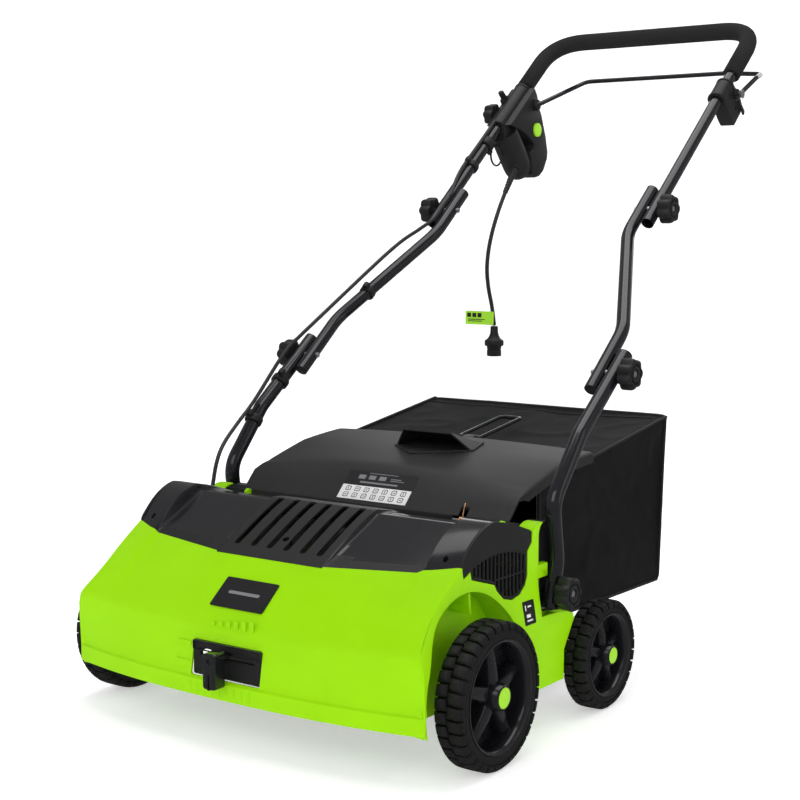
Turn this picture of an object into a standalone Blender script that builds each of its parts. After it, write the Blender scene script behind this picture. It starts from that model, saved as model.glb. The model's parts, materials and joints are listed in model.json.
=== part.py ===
"""A walk-behind electric lawn dethatcher with a grass bag and a folding handle.

The machine's own frame has X across, Y from the front to the handle and Z up. The front axle is at y = 0
and the ground at z = 0. The empty named machine moves it all, so that the origin is the middle of the
ground area that the whole machine covers.
"""

import math

import bmesh
import bpy
from mathutils import Matrix, Vector

# Driving dimensions, metres
SHIFT_Y = -0.4295
GAP = 0.0003
SHELL_HALF = 0.286
SKIN = 0.003
FRONT_WHEEL_R = 0.0925
REAR_WHEEL_R = 0.0757
REAR_AXLE_Y = 0.302
AXLE_R = 0.006
AXLE_TRAVEL = 0.008
REEL = (0.130, 0.088)
REEL_SHAFT_R = 0.008
TINE_TIP_R = 0.078
DISC_COUNT = 12
TINE_COUNT = 6
MOTOR = (0.045, 0.238)
MOTOR_R = 0.043
REEL_PULLEY_R = 0.034
MOTOR_PULLEY_R = 0.014
BELT_X = (-0.2305, -0.2215)
FLAP_ROD = (0.1655, 0.2665)
FLAP_ROD_R = 0.003
KNOB_1 = (0.1925, 0.182)
KNOB_2 = (0.358, 0.459)
KNOB_3 = (0.6355, 0.6885)
STUD_R = 0.004
LOWER_R = 0.011
UPPER_R = 0.010
TUBE_WALL = 0.0012
LOWER_X = 0.282
MID_LOW_X = 0.259
MID_TOP_X = 0.178
UPPER_X = 0.2005
SLOPE = math.radians(39.8)
BAIL_PIVOT = (0.895, 0.880)
BAIL_R = 0.004
BUTTON_SP = (0.307, 0.0535)
CAM_SLOPE = 0.222
LEVER_TRAVEL = 0.036
CAM_PIN_X = 0.118
CORD_R = 0.0035
CORD_X = -0.19
CORD_EXIT = (0.8552, 0.7643)
CORD_ROUTE = (
    (0.8552, 0.7643), (0.8393, 0.7431), (0.8234, 0.7219), (0.8020, 0.6900), (0.7820, 0.6530),
    (0.7695, 0.6190), (0.7650, 0.5860), (0.7705, 0.5530), (0.7820, 0.5200), (0.7900, 0.4870),
)
CABLE_R = 0.003
LOWER_CABLE = (
    (-0.2662, 0.3450, 0.4934), (-0.2750, 0.311, 0.4650), (-0.2800, 0.245, 0.3960), (-0.2800, 0.205, 0.3640),
    (-0.2730, 0.165, 0.3370), (-0.2650, 0.140, 0.3120), (-0.2620, 0.1265, 0.2800),
)
MID_CABLE = ((-0.2047, 0.6407, 0.7120), (-0.2055, 0.5991, 0.6775), (-0.2250, 0.5200, 0.6200),
             (-0.2661, 0.3455, 0.4938))
UPPER_CABLE_SP = ((-0.2005, 0.226, -0.0148), (-0.2005, 0.170, -0.0148), (-0.2020, 0.100, -0.0148),
                  (-0.2045, 0.0205, -0.0148))

BLACK_PLASTIC = ((0.018, 0.018, 0.020), 0.42, 0.0)
GREEN_PLASTIC = ((0.36, 0.78, 0.02), 0.38, 0.0)
GLOSS_BLACK = ((0.010, 0.010, 0.012), 0.22, 0.0)
RUBBER = ((0.014, 0.014, 0.014), 0.72, 0.0)
FOAM = ((0.016, 0.016, 0.016), 0.90, 0.0)
STEEL = ((0.62, 0.62, 0.64), 0.34, 1.0)
SPRING_STEEL = ((0.55, 0.33, 0.18), 0.35, 1.0)
FABRIC = ((0.022, 0.022, 0.024), 0.85, 0.0)
LIME = ((0.45, 0.80, 0.05), 0.40, 0.0)

PARTS = bpy.data.collections.new("lawn_dethatcher")
CUTTERS = bpy.data.collections.new("cutters")
MATERIALS = {}


# Scene, materials and placing

def clear_scene():
    for obj in list(bpy.data.objects):
        bpy.data.objects.remove(obj, do_unlink=True)
    for collection in (PARTS, CUTTERS):
        bpy.context.scene.collection.children.link(collection)


def material(finish):
    if finish not in MATERIALS:
        colour, roughness, metallic = finish
        made = bpy.data.materials.new("finish_%d" % (len(MATERIALS) + 1))
        made.use_nodes = True
        shader = made.node_tree.nodes["Principled BSDF"]
        shader.inputs["Base Color"].default_value = (*colour, 1.0)
        shader.inputs["Roughness"].default_value = roughness
        shader.inputs["Metallic"].default_value = metallic
        MATERIALS[finish] = made
    return MATERIALS[finish]


def place(name, data, finish, location=(0, 0, 0), rotation=(0, 0, 0)):
    """Add an object; one with no finish is a cutter."""
    obj = bpy.data.objects.new(name, data)
    obj.parent = MACHINE
    obj.location = location
    obj.rotation_euler = rotation
    if finish is None:
        CUTTERS.objects.link(obj)
        obj.hide_render = True
        obj.display_type = "WIRE"
    else:
        PARTS.objects.link(obj)
        data.materials.append(material(finish))
    return obj


def as_mesh(obj):
    """Replace a curve object with the same shape as a closed mesh."""
    bpy.context.view_layer.update()
    evaluated = obj.evaluated_get(bpy.context.evaluated_depsgraph_get())
    mesh = bpy.data.meshes.new_from_object(evaluated)
    shape = bmesh.new()
    shape.from_mesh(mesh)
    bmesh.ops.remove_doubles(shape, verts=shape.verts, dist=0.00002)
    shape.to_mesh(mesh)
    shape.free()
    name = obj.name
    collection = obj.users_collection[0]
    made = bpy.data.objects.new(name + "_mesh", mesh)
    made.parent = MACHINE
    made.location = obj.location
    made.rotation_euler = obj.rotation_euler
    made.hide_render = obj.hide_render
    made.display_type = obj.display_type
    collection.objects.link(made)
    bpy.data.objects.remove(obj, do_unlink=True)
    made.name = name
    return made


def boolean(obj, other, operation):
    modifier = obj.modifiers.new(operation.lower(), "BOOLEAN")
    modifier.operation = operation
    modifier.object = other
    return obj


def cut(obj, *cutters):
    for cutter in cutters:
        boolean(obj, cutter, "DIFFERENCE")
    return obj


def join(obj, *others):
    for other in others:
        boolean(obj, other, "UNION")
    return obj


def smooth(obj, angle=35):
    obj.data.shade_smooth()
    obj.data.set_sharp_from_angle(angle=math.radians(angle))
    return obj


FLANK_LEVELS = (0.135, 0.150, 0.165, 0.180, 0.195, 0.205)


def flank_inset(x, y, z):
    """How far a point near the shell's flank is drawn in, more towards the top and the front."""
    rise = min(max((z - 0.135) / 0.07, 0), 1)
    front = 1 - 0.5 * min(max(y / 0.14, 0), 1)
    ramp = min(max((abs(x) - 0.240) / 0.050, 0), 1)
    return 0.0165 * rise * rise * (3 - 2 * rise) * front * ramp


def drawn_in(obj):
    """Apply an object's modifiers, cut it at the flank's levels and draw the flank in."""
    bpy.context.view_layer.update()
    evaluated = obj.evaluated_get(bpy.context.evaluated_depsgraph_get())
    mesh = bpy.data.meshes.new_from_object(evaluated)
    obj.modifiers.clear()
    shape = bmesh.new()
    shape.from_mesh(mesh)
    shape.transform(obj.matrix_basis)
    for level in FLANK_LEVELS:
        geometry = shape.verts[:] + shape.edges[:] + shape.faces[:]
        bmesh.ops.bisect_plane(shape, geom=geometry, plane_co=(0, 0, level), plane_no=(0, 0, 1))
    for vert in shape.verts:
        vert.co.x -= math.copysign(flank_inset(*vert.co), vert.co.x)
    bmesh.ops.triangulate(shape, faces=shape.faces[:])
    shape.transform(obj.matrix_basis.inverted())
    shape.to_mesh(mesh)
    shape.free()
    obj.data = mesh
    return obj


# Outlines and routes

def mirrored(values):
    return [-value for value in reversed(values) if value > 0] + list(values)


def arc(centre, radius, start, end, steps):
    """Points on an arc; radius is one number or a pair of semi-axes, angles are degrees."""
    across, up = radius if isinstance(radius, tuple) else (radius, radius)
    points = []
    for step in range(steps + 1):
        angle = math.radians(start + (end - start) * step / steps)
        points.append((centre[0] + across * math.cos(angle), centre[1] + up * math.sin(angle)))
    return points


def ring(centre, radius, steps):
    return arc(centre, radius, 0, 360, steps)[:-1]


def rectangle(low, high):
    return [(low[0], low[1]), (high[0], low[1]), (high[0], high[1]), (low[0], high[1])]


def two_circle_outline(centre_a, radius_a, centre_b, radius_b, steps):
    """The outline of a belt's loop round two circles."""
    line = Vector(centre_b) - Vector(centre_a)
    heading = math.degrees(math.atan2(line.y, line.x))
    lean = math.degrees(math.acos((radius_a - radius_b) / line.length))
    far = arc(centre_b, radius_b, heading - lean, heading + lean, steps)
    near = arc(centre_a, radius_a, heading + lean, heading - lean + 360, steps)
    return far + near


def strip_outline(points, thickness):
    """The outline of a thin strip whose middle line has these points."""
    middle = [Vector(point) for point in points]
    left = []
    right = []
    for index, point in enumerate(middle):
        before = middle[max(index - 1, 0)]
        after = middle[min(index + 1, len(middle) - 1)]
        along = (after - before).normalized()
        side = Vector((-along.y, along.x)) * thickness / 2
        left.append(tuple(point + side))
        right.append(tuple(point - side))
    return left + right[::-1]


def fillet(points, radius, steps=4):
    """Round each inner corner of a route to this bend radius."""
    corners = [Vector(point) for point in points]
    route = [corners[0]]
    for before, corner, after in zip(corners, corners[1:], corners[2:]):
        inward = (before - corner).normalized()
        outward = (after - corner).normalized()
        half = inward.angle(outward) / 2
        reach = min(radius / math.tan(half), 0.49 * (before - corner).length, 0.49 * (after - corner).length)
        start = corner + inward * reach
        end = corner + outward * reach
        for step in range(steps + 1):
            t = step / steps
            route.append(start * (1 - t) ** 2 + corner * 2 * t * (1 - t) + end * t ** 2)
    route.append(corners[-1])
    return route


def smooth_route(points, spacing):
    """Points a given distance apart along a smooth curve through the given ones."""
    knots = [Vector(point) for point in points]
    knots = [knots[0] * 2 - knots[1]] + knots + [knots[-1] * 2 - knots[-2]]
    fine = []
    for p0, p1, p2, p3 in zip(knots, knots[1:], knots[2:], knots[3:]):
        for step in range(20):
            t = step / 20
            fine.append(0.5 * (2 * p1 + (p2 - p0) * t + (2 * p0 - 5 * p1 + 4 * p2 - p3) * t ** 2
                               + (3 * p1 - p0 - 3 * p2 + p3) * t ** 3))
    fine.append(knots[-2])
    total = sum((b - a).length for a, b in zip(fine, fine[1:]))
    count = max(round(total / spacing), 2)
    route = [fine[0]]
    walked = 0.0
    for a, b in zip(fine, fine[1:]):
        walked += (b - a).length
        if walked >= total * len(route) / count and len(route) < count:
            route.append(b)
    return route + [fine[-1]]


def on_handle(along, below):
    """The (y, z) of a point along the upper handle's legs from the third knob, and below them."""
    return (KNOB_3[0] + along * math.cos(SLOPE) + below * math.sin(SLOPE),
            KNOB_3[1] + along * math.sin(SLOPE) - below * math.cos(SLOPE))


# Solids

def flat_curve(name, outline, thickness, holes):
    data = bpy.data.curves.new(name, "CURVE")
    data.dimensions = "2D"
    data.fill_mode = "BOTH"
    data.extrude = thickness / 2
    for points in [outline, *holes]:
        spline = data.splines.new("POLY")
        spline.points.add(len(points) - 1)
        spline.use_cyclic_u = True
        for point, (across, up) in zip(spline.points, points):
            point.co = (across, up, 0, 1)
    return data


def plate_x(name, finish, outline, x_low, x_high, holes=(), pivot=(0, 0)):
    """A plate square to X from an outline of (y, z) points, with its origin on the pivot's axis."""
    def about(points):
        return [(y - pivot[0], z - pivot[1]) for y, z in points]
    data = flat_curve(name, about(outline), x_high - x_low, [about(hole) for hole in holes])
    return place(name, data, finish, ((x_low + x_high) / 2, *pivot), (math.pi / 2, 0, math.pi / 2))


def plate_y(name, finish, outline, y_low, y_high, holes=()):
    """A plate square to Y from an outline of (x, z) points."""
    data = flat_curve(name, outline, y_high - y_low, holes)
    return place(name, data, finish, (0, (y_low + y_high) / 2, 0), (math.pi / 2, 0, 0))


def block(name, finish, low, high):
    mesh = bpy.data.meshes.new(name)
    shape = bmesh.new()
    bmesh.ops.create_cube(shape, size=1)
    size = [b - a for a, b in zip(low, high)]
    centre = [(a + b) / 2 for a, b in zip(low, high)]
    bmesh.ops.scale(shape, vec=size, verts=shape.verts)
    bmesh.ops.translate(shape, vec=centre, verts=shape.verts)
    shape.to_mesh(mesh)
    shape.free()
    return place(name, mesh, finish)


def cylinder(name, finish, radius, length, sides, location, rotation):
    mesh = bpy.data.meshes.new(name)
    shape = bmesh.new()
    bmesh.ops.create_cone(shape, cap_ends=True, segments=sides, radius1=radius, radius2=radius, depth=length)
    shape.to_mesh(mesh)
    shape.free()
    return place(name, mesh, finish, location, rotation)


def rod_x(name, finish, radius, centre, x_low, x_high, sides=16):
    middle = ((x_low + x_high) / 2, *centre)
    obj = cylinder(name, finish, radius, x_high - x_low, sides, middle, (0, math.pi / 2, 0))
    return smooth(obj)


def drill_x(radius, centre, x_low, x_high, sides=16):
    """A cutter for a hole whose flats stay a gap clear of a round rod of this radius."""
    return rod_x("drill", None, (radius + GAP) / math.cos(math.pi / sides), centre, x_low, x_high, sides)


def turned(name, finish, profile, steps, closed, location, rotation):
    """A turned shape: the profile's (radius, height) points run down its outer side."""
    mesh = bpy.data.meshes.new(name)
    shape = bmesh.new()
    verts = [shape.verts.new((radius, 0, height)) for radius, height in profile]
    for a, b in zip(verts, verts[1:]):
        shape.edges.new((a, b))
    if closed:
        shape.edges.new((verts[-1], verts[0]))
    shape.to_mesh(mesh)
    shape.free()
    obj = place(name, mesh, finish, location, rotation)
    screw = obj.modifiers.new("turn", "SCREW")
    screw.steps = steps
    screw.render_steps = steps
    screw.use_merge_vertices = True
    screw.merge_threshold = 0.00001
    screw.use_smooth_shade = False
    return obj


def turned_x(name, finish, profile, centre, steps=24, closed=False, x=0.0):
    """A turned shape on an axis along X; heights in the profile run along X from x."""
    return turned(name, finish, profile, steps, closed, (x, *centre), (0, math.pi / 2, 0))


def ring_x(name, finish, inner, outer, centre, x_low, x_high, steps=20):
    profile = [(outer, x_high), (outer, x_low), (inner, x_low), (inner, x_high)]
    return turned_x(name, finish, profile, centre, steps, closed=True)


def wire(name, finish, points, radius, resolution=2, pivot=(0, 0, 0), cyclic=False, caps=True):
    """A round rod along a route; resolution 2 gives 8 sides, and each step adds 2."""
    data = bpy.data.curves.new(name, "CURVE")
    data.dimensions = "3D"
    data.bevel_depth = radius
    data.bevel_resolution = resolution
    data.use_fill_caps = caps
    spline = data.splines.new("POLY")
    spline.points.add(len(points) - 1)
    spline.use_cyclic_u = cyclic
    for point, place_at in zip(spline.points, points):
        point.co = (*(Vector(place_at) - Vector(pivot)), 1)
    return place(name, data, finish, pivot)


def hollow_tube(name, finish, points, radius, resolution=3, pivot=(0, 0, 0)):
    """A bent tube, open at both ends."""
    obj = as_mesh(wire(name, finish, points, radius, resolution, pivot, caps=False))
    solidify = obj.modifiers.new("wall", "SOLIDIFY")
    solidify.thickness = TUBE_WALL
    solidify.offset = -1
    return smooth(obj, 50)


def skin(name, finish, rows, thickness, pivot=(0, 0, 0)):
    """A shell from rows of points: the rows follow each other along +X, each from the front up."""
    mesh = bpy.data.meshes.new(name)
    shape = bmesh.new()
    grid = [[shape.verts.new(Vector(point) - Vector(pivot)) for point in row] for row in rows]
    for row, following in zip(grid, grid[1:]):
        for j in range(len(row) - 1):
            shape.faces.new((row[j], following[j], following[j + 1], row[j + 1]))
    shape.to_mesh(mesh)
    shape.free()
    obj = place(name, mesh, finish, pivot)
    solidify = obj.modifiers.new("wall", "SOLIDIFY")
    solidify.thickness = thickness
    solidify.offset = -1
    solidify.use_even_offset = True
    return smooth(obj)


def between(table, x):
    """Values read from a table of (x, value, value) rows by straight lines."""
    for low, high in zip(table, table[1:]):
        if x <= high[0]:
            t = max(x - low[0], 0) / (high[0] - low[0])
            return [a + (b - a) * t for a, b in zip(low[1:], high[1:])]
    return list(table[-1][1:])


# Front shell

SHELL_TOP = ((0, -0.052, 0.233), (0.09, -0.052, 0.233), (0.229, -0.0287, 0.2392),
             (0.236, -0.0262, 0.2465), (0.286, -0.012, 0.252))
SHELL_STATIONS = (0, 0.045, 0.09, 0.16, 0.229, 0.236, 0.260, 0.276, 0.286, 0.2895)
ARCH = (0.110, 0.122)
ARCH_SLOT = (0.078, 0.107)
SHELL_SIDE = [
    (-0.1135, 0.066), (-0.1135, 0.090), (-0.1165, 0.160), (-0.062, 0.2120), (-0.0135, 0.2490),
    (-0.018, 0.237), (0.000, 0.231), (0.058, 0.2145), (0.064, 0.205), (0.077, 0.193), (0.095, 0.1885),
    (0.113, 0.192), (0.126, 0.202), (0.131, 0.214), (0.131, 0.246), (0.141, 0.256), (0.141, 0.281),
    (0.162, 0.281), (0.157, 0.274), (0.157, 0.155), (0.197, 0.154),
    (0.212, 0.151), (0.212, 0.060), (0.10, 0.060),
]
SHELL_REAR = [(0.185, 0.060), (0.185, 0.152), (0.262, 0.141), (0.275, 0.132), (0.262, 0.062)]


def shell_profile(x):
    t = min(abs(x) / SHELL_HALF, 1)
    lip = -0.143 + 0.028 * t ** 2.5
    crease = Vector((-0.130 + 0.010 * t * t, 0.150 + 0.012 * t * t))
    top = Vector(between(SHELL_TOP, abs(x)))
    bulge = (top - crease).orthogonal().normalized() * 0.004
    middle = crease.lerp(top, 0.52) + bulge
    back = 0.0025 if abs(x) > SHELL_HALF else 0
    points = [(lip, 0.065), (lip, 0.088), (lip + 0.003, 0.090), crease, middle, top]
    return [(x, y + back, z) for y, z in points]


def wheel_arch_liner(side):
    low = math.degrees(math.asin((0.062 - FRONT_WHEEL_R) / (ARCH[1] + SKIN)))
    outline = arc((0, FRONT_WHEEL_R), (ARCH[0] + SKIN, ARCH[1] + SKIN), low, 180 - low, 24)
    x_low, x_high = sorted((side * 0.2415, side * 0.2885))
    return as_mesh(plate_x("liner", None, outline, x_low, x_high))


def shell_side(side):
    """The side plate with its rear return, its inner wall and the wheel arch's liner."""
    x_low, x_high = sorted((side * 0.2862, side * 0.2902))
    outer = as_mesh(plate_x("side", None, SHELL_SIDE, x_low, x_high))
    inner_low, inner_high = sorted((side * 0.2600, side * 0.2640))
    inner = as_mesh(plate_x("inner_wall", None, SHELL_REAR, inner_low, inner_high))
    web_low, web_high = sorted((side * 0.262, side * 0.288))
    web = block("web", None, (web_low, 0.2085, 0.0605), (web_high, 0.2115, 0.1495))
    shelf_low, shelf_high = sorted((side * 0.246, side * 0.2895))
    shelf = block("shelf", None, (shelf_low, 0.1385, 0.2785), (shelf_high, 0.1610, 0.2812))
    return outer, web, inner, wheel_arch_liner(side), shelf


def front_shell():
    rows = [shell_profile(x) for x in mirrored(SHELL_STATIONS)]
    shell = skin("front_shell", GREEN_PLASTIC, rows, SKIN)
    for side in (-1, 1):
        join(shell, *shell_side(side))
    cut(shell, block("window", None, (-0.058, -0.16, 0.090), (0.058, -0.12, 0.136)))
    for side in (-1, 1):
        x_low, x_high = sorted((side * 0.2445, side * 0.33))
        outline = ring((0, FRONT_WHEEL_R), ARCH, 36)
        slot_low, slot_high = sorted((side * 0.24, side * 0.246))
        cut(shell, as_mesh(plate_x("arch", None, outline, x_low, x_high)),
            block("axle_slot", None, (slot_low, -0.0075, ARCH_SLOT[0]), (slot_high, 0.0075, ARCH_SLOT[1])))
    return drawn_in(shell)


# Motor cover

COVER_FRONT = ((0.0925, -0.0500, 0.2345), (0.2255, -0.0270, 0.2412))
COVER_END_FRONT = ((0.2285, -0.0260, 0.2475), (0.2835, -0.0125, 0.2535))
COVER_STATIONS = (0, 0.0895, 0.0925, 0.16, 0.2255, 0.2285, 0.255, 0.2835)
COVER_REAR = (0.1425, 0.266)
END_TOP = (0.040, 0.299)


def cover_curve(front, top, front_steps=5, rear_steps=3):
    """A quarter ellipse from the front edge to the top, then a falling curve to the rear edge."""
    points = arc((top[0], front[1]), (top[0] - front[0], top[1] - front[1]), 180, 90, front_steps)
    for step in range(1, rear_steps + 1):
        t = step / rear_steps
        y = top[0] + (COVER_REAR[0] - top[0]) * t
        points.append((y, top[1] - (top[1] - COVER_REAR[1]) * t * t))
    return points


def cover_profile(x):
    if abs(x) < 0.091:
        points = cover_curve((-0.054, 0.2342), (0.035, 0.297))
    elif abs(x) < 0.227:
        points = cover_curve(between(COVER_FRONT, abs(x)), (0.040, 0.290))
    else:
        points = cover_curve(between(COVER_END_FRONT, abs(x)), END_TOP)
    return [(x, y, z) for y, z in points]


def motor_cover():
    cover = skin("motor_cover", BLACK_PLASTIC, [cover_profile(x) for x in mirrored(COVER_STATIONS)], SKIN)
    for index in range(6):
        middle = (index - 2.5) * 0.028
        cut(cover, block("vent", None, (middle - 0.005, -0.045, 0.22), (middle + 0.005, 0.028, 0.31)))
    return drawn_in(cover)


# Side grilles

GRILLE_LOWER = [
    (-0.0060, 0.2490), (-0.0165, 0.2385), (0.0005, 0.2322), (0.0585, 0.2155), (0.0648, 0.206),
    (0.0775, 0.1938), (0.095, 0.1893), (0.1128, 0.1928), (0.1253, 0.2025), (0.1302, 0.2142),
    (0.1302, 0.2465), (0.1402, 0.2563), (0.1402, 0.2665),
]
GRILLE_SLOTS = 13


def grille_slot(index):
    middle = 0.004 + index * 0.0098
    slot = []
    for y in (middle - 0.0027, middle + 0.0027):
        lower = between([(a, b) for a, b in GRILLE_LOWER[1:10]], y)[0]
        upper = 0.262 - max(0.045 - y, 0) * 0.35
        slot.append((y, lower + 0.0045, upper))
    (left, left_low, left_high), (right, right_low, right_high) = slot
    return [(left, left_low), (right, right_low), (right, right_high), (left, left_high)]


def side_grilles():
    top = [point for point in cover_curve((-0.0125, 0.2535), END_TOP) if -0.006 < point[0] < 0.14]
    outline = GRILLE_LOWER + top[::-1] + [(-0.0060, 0.2755)]
    for name, side in (("side_grille_left", -1), ("side_grille_right", 1)):
        x_low, x_high = sorted((side * 0.2855, side * 0.2895))
        holes = [grille_slot(index) for index in range(GRILLE_SLOTS)]
        drawn_in(as_mesh(plate_x(name, BLACK_PLASTIC, outline, x_low, x_high, holes)))


# Steel frame, reel, motor and belt

PLATE_OUTLINE = [
    (-0.045, 0.060), (-0.045, 0.150), (0.000, 0.200), (0.012, 0.258), (0.130, 0.258), (0.140, 0.200),
    (0.215, 0.150), (0.235, 0.103), (0.325, 0.100), (0.325, 0.060),
]


def side_plates():
    holes = [
        rectangle((-0.0068, 0.077), (0.0068, 0.108)),
        ring(REEL, 0.0178, 20),
        ring((REAR_AXLE_Y, REAR_WHEEL_R), 0.0066, 16),
    ]
    plate_x("side_plate_right", STEEL, PLATE_OUTLINE, 0.200, 0.203, holes)
    plate_x("side_plate_left", STEEL, PLATE_OUTLINE, -0.203, -0.200, holes + [ring(MOTOR, 0.008, 16)])


def reel_hood():
    middle = arc(REEL, 0.08425, 215, 85, 16) + [(0.1460, 0.190), (0.1480, 0.2495)]
    plate_x("reel_hood", BLACK_PLASTIC, strip_outline(middle, 0.0025), -0.1985, 0.1985)


def motor():
    profile = [(0, 0.060), (0.030, 0.060), (0.038, 0.055), (MOTOR_R, 0.045), (MOTOR_R, -0.150),
               (0.038, -0.160), (0.020, -0.165), (0, -0.165)]
    smooth(turned_x("motor", BLACK_PLASTIC, profile, MOTOR, 24))


def motor_shaft_pulley():
    profile = [(0, -0.1655), (0.005, -0.1655), (0.005, -0.2200), (MOTOR_PULLEY_R, -0.2205),
               (MOTOR_PULLEY_R, -0.2315), (0.005, -0.2320), (0.005, -0.2345), (0, -0.2345)]
    turned_x("motor_shaft_pulley", STEEL, profile, MOTOR, 24)


def drive_belt():
    outer = two_circle_outline(REEL, REEL_PULLEY_R + 0.0035, MOTOR, MOTOR_PULLEY_R + 0.0035, 14)
    inner = two_circle_outline(REEL, REEL_PULLEY_R + 0.0006, MOTOR, MOTOR_PULLEY_R + 0.0006, 14)
    plate_x("drive_belt", RUBBER, outer, *BELT_X, [inner])


def tine_disc_outline(turn):
    points = []
    for index in range(TINE_COUNT):
        heading = 360 / TINE_COUNT * index + turn
        for radius, offset in ((0.024, -14), (0.050, -5), (TINE_TIP_R, 2), (TINE_TIP_R, 4.5), (0.050, 3), (0.024, 14)):
            angle = math.radians(heading + offset)
            points.append((REEL[0] + radius * math.cos(angle), REEL[1] + radius * math.sin(angle)))
    return points


def reel():
    rod_x("reel_shaft", STEEL, REEL_SHAFT_R, REEL, -0.2345, 0.2085, 16)
    inner = (REEL_SHAFT_R + GAP) / math.cos(math.pi / 16)
    hub = ring_x("tine_reel", STEEL, inner, 0.027, REEL, -0.190, 0.190, 16)
    hub.rotation_euler = (0, math.pi / 2, 0)
    for index in range(DISC_COUNT):
        x = -0.175 + 0.350 * index / (DISC_COUNT - 1)
        disc = plate_x("disc", None, tine_disc_outline(25 * index), x - 0.0015, x + 0.0015,
                       [ring(REEL, 0.015, 12)])
        join(hub, as_mesh(disc))
    ring_x("reel_pulley", STEEL, inner, REEL_PULLEY_R, REEL, -0.2315, -0.2205, 32)
    for name, side in (("reel_bearing_left", -1), ("reel_bearing_right", 1)):
        x_low, x_high = sorted((side * 0.196, side * 0.208))
        ring_x(name, STEEL, inner, 0.0170, REEL, x_low, x_high, 16)


# Depth adjustment and axles

def depth_lever():
    outline = rectangle((-0.0145, 0.084), (0.0065, 0.130))
    lever = as_mesh(plate_y("depth_lever", BLACK_PLASTIC, outline, -0.165, -0.1445))
    join(lever, block("stem", None, (-0.008, -0.146, 0.118), (0.000, -0.0305, 0.124)))
    slot = rectangle((-0.045, 0.1165), (0.045, 0.1255))
    plate_y("lever_bezel", BLACK_PLASTIC, rectangle((-0.0575, 0.0905), (0.0575, 0.1355)), -0.133, -0.129, [slot])


def cam_slot(middle):
    """A slanted slot with round ends, in which a carriage pin rides."""
    lean = math.atan(CAM_SLOPE)
    turn = math.degrees(lean)
    reach = LEVER_TRAVEL + 0.0002
    low = (middle - reach, 0.115 - reach * CAM_SLOPE)
    high = (middle + reach, 0.115 + reach * CAM_SLOPE)
    return arc(high, 0.0048, turn - 90, turn + 90, 6) + arc(low, 0.0048, turn + 90, turn + 270, 6)


def depth_linkage():
    plate_y("depth_cam_bar", STEEL, rectangle((-0.161, 0.098), (0.161, 0.132)), -0.0300, -0.0270,
            [cam_slot(-CAM_PIN_X), cam_slot(CAM_PIN_X)])
    carriage = block("axle_carriage", STEEL, (-0.190, -0.022, 0.085), (0.190, -0.012, 0.125))
    for side in (-1, 1):
        x_low, x_high = sorted((side * 0.168, side * 0.186))
        eye = block("eye", None, (x_low, -0.018, 0.0815), (x_high, 0.011, 0.1035))
        pin = cylinder("pin", None, 0.004, 0.014, 12, (side * CAM_PIN_X, -0.027, 0.115), (math.pi / 2, 0, 0))
        join(carriage, eye, pin)
    cut(carriage, drill_x(AXLE_R, (0, FRONT_WHEEL_R), -0.2, 0.2))
    rod_x("front_axle", STEEL, AXLE_R, (0, FRONT_WHEEL_R), -0.322, 0.322)
    rod_x("rear_axle", STEEL, AXLE_R, (REAR_AXLE_Y, REAR_WHEEL_R), -0.308, 0.308)


# Wheels

def wheel(name, side, centre, radius, rim_radius, near, far, cap, axle_end):
    """A tyre on a five-spoked rim; near, far and cap are distances from the machine's middle."""
    middle = side * (near + far) / 2
    half = (far - near) / 2
    profile = [(radius - 0.004, half), (radius, half - 0.004), (radius, 0.004 - half), (radius - 0.004, -half),
               (rim_radius + 0.003, -half), (rim_radius, 0.003 - half), (rim_radius, half - 0.003),
               (rim_radius + 0.003, half)]
    smooth(turned_x(name + "_tyre", RUBBER, profile, centre, 36, True, middle), 40)
    rim_low, rim_high = sorted((side * (near + 0.005), side * (far - 0.005)))
    windows = []
    for index in range(5):
        start = index * 72 + 12
        outer = arc(centre, rim_radius - 0.010, start, start + 48, 4)
        windows.append(outer + arc(centre, 0.024, start + 38, start + 10, 2))
    rim = as_mesh(plate_x(name + "_rim", BLACK_PLASTIC, ring(centre, rim_radius - 0.0004, 36), rim_low, rim_high,
                          windows, centre))
    hub_low, hub_high = sorted((side * (near + 0.001), side * cap))
    bore_low, bore_high = sorted((side * (near - 0.01), side * (axle_end + 0.0005)))
    join(rim, rod_x("hub", None, 0.016, centre, hub_low, hub_high, 20))
    cut(rim, drill_x(AXLE_R, centre, bore_low, bore_high))


def wheels():
    for word, side in (("left", -1), ("right", 1)):
        wheel("front_wheel_" + word, side, (0, FRONT_WHEEL_R), FRONT_WHEEL_R, 0.0675, 0.286, 0.326, 0.330, 0.322)
        wheel("rear_wheel_" + word, side, (REAR_AXLE_Y, REAR_WHEEL_R), REAR_WHEEL_R, 0.0540, 0.278, 0.312,
              0.317, 0.308)


# Hinge rail, rear flap and grass bag

def hinge_rail():
    rail = block("hinge_rail", GREEN_PLASTIC, (-0.262, 0.146, 0.250), (0.262, 0.154, 0.266))
    for side in (-1, 1):
        tab_low, tab_high = sorted((side * 0.203, side * 0.217))
        ear_low, ear_high = sorted((side * 0.2345, side * 0.2415))
        join(rail, block("tab", None, (tab_low, 0.146, 0.260), (tab_high, 0.154, 0.278)))
        ear = [(0.148, 0.2515), (0.168, 0.2605), (0.1715, 0.2665), (0.168, 0.2725), (0.160, 0.2725), (0.148, 0.2645)]
        join(rail, as_mesh(plate_x("ear", None, ear, ear_low, ear_high)))
    cut(rail, drill_x(FLAP_ROD_R, FLAP_ROD, -0.25, 0.25, 12))
    rod_x("flap_hinge_rod", STEEL, FLAP_ROD_R, FLAP_ROD, -0.243, 0.243, 12)


FLAP_STATIONS = (0, 0.06, 0.12, 0.18, 0.226, 0.232)
SCOOP_X = (-0.050, 0.055)


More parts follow.
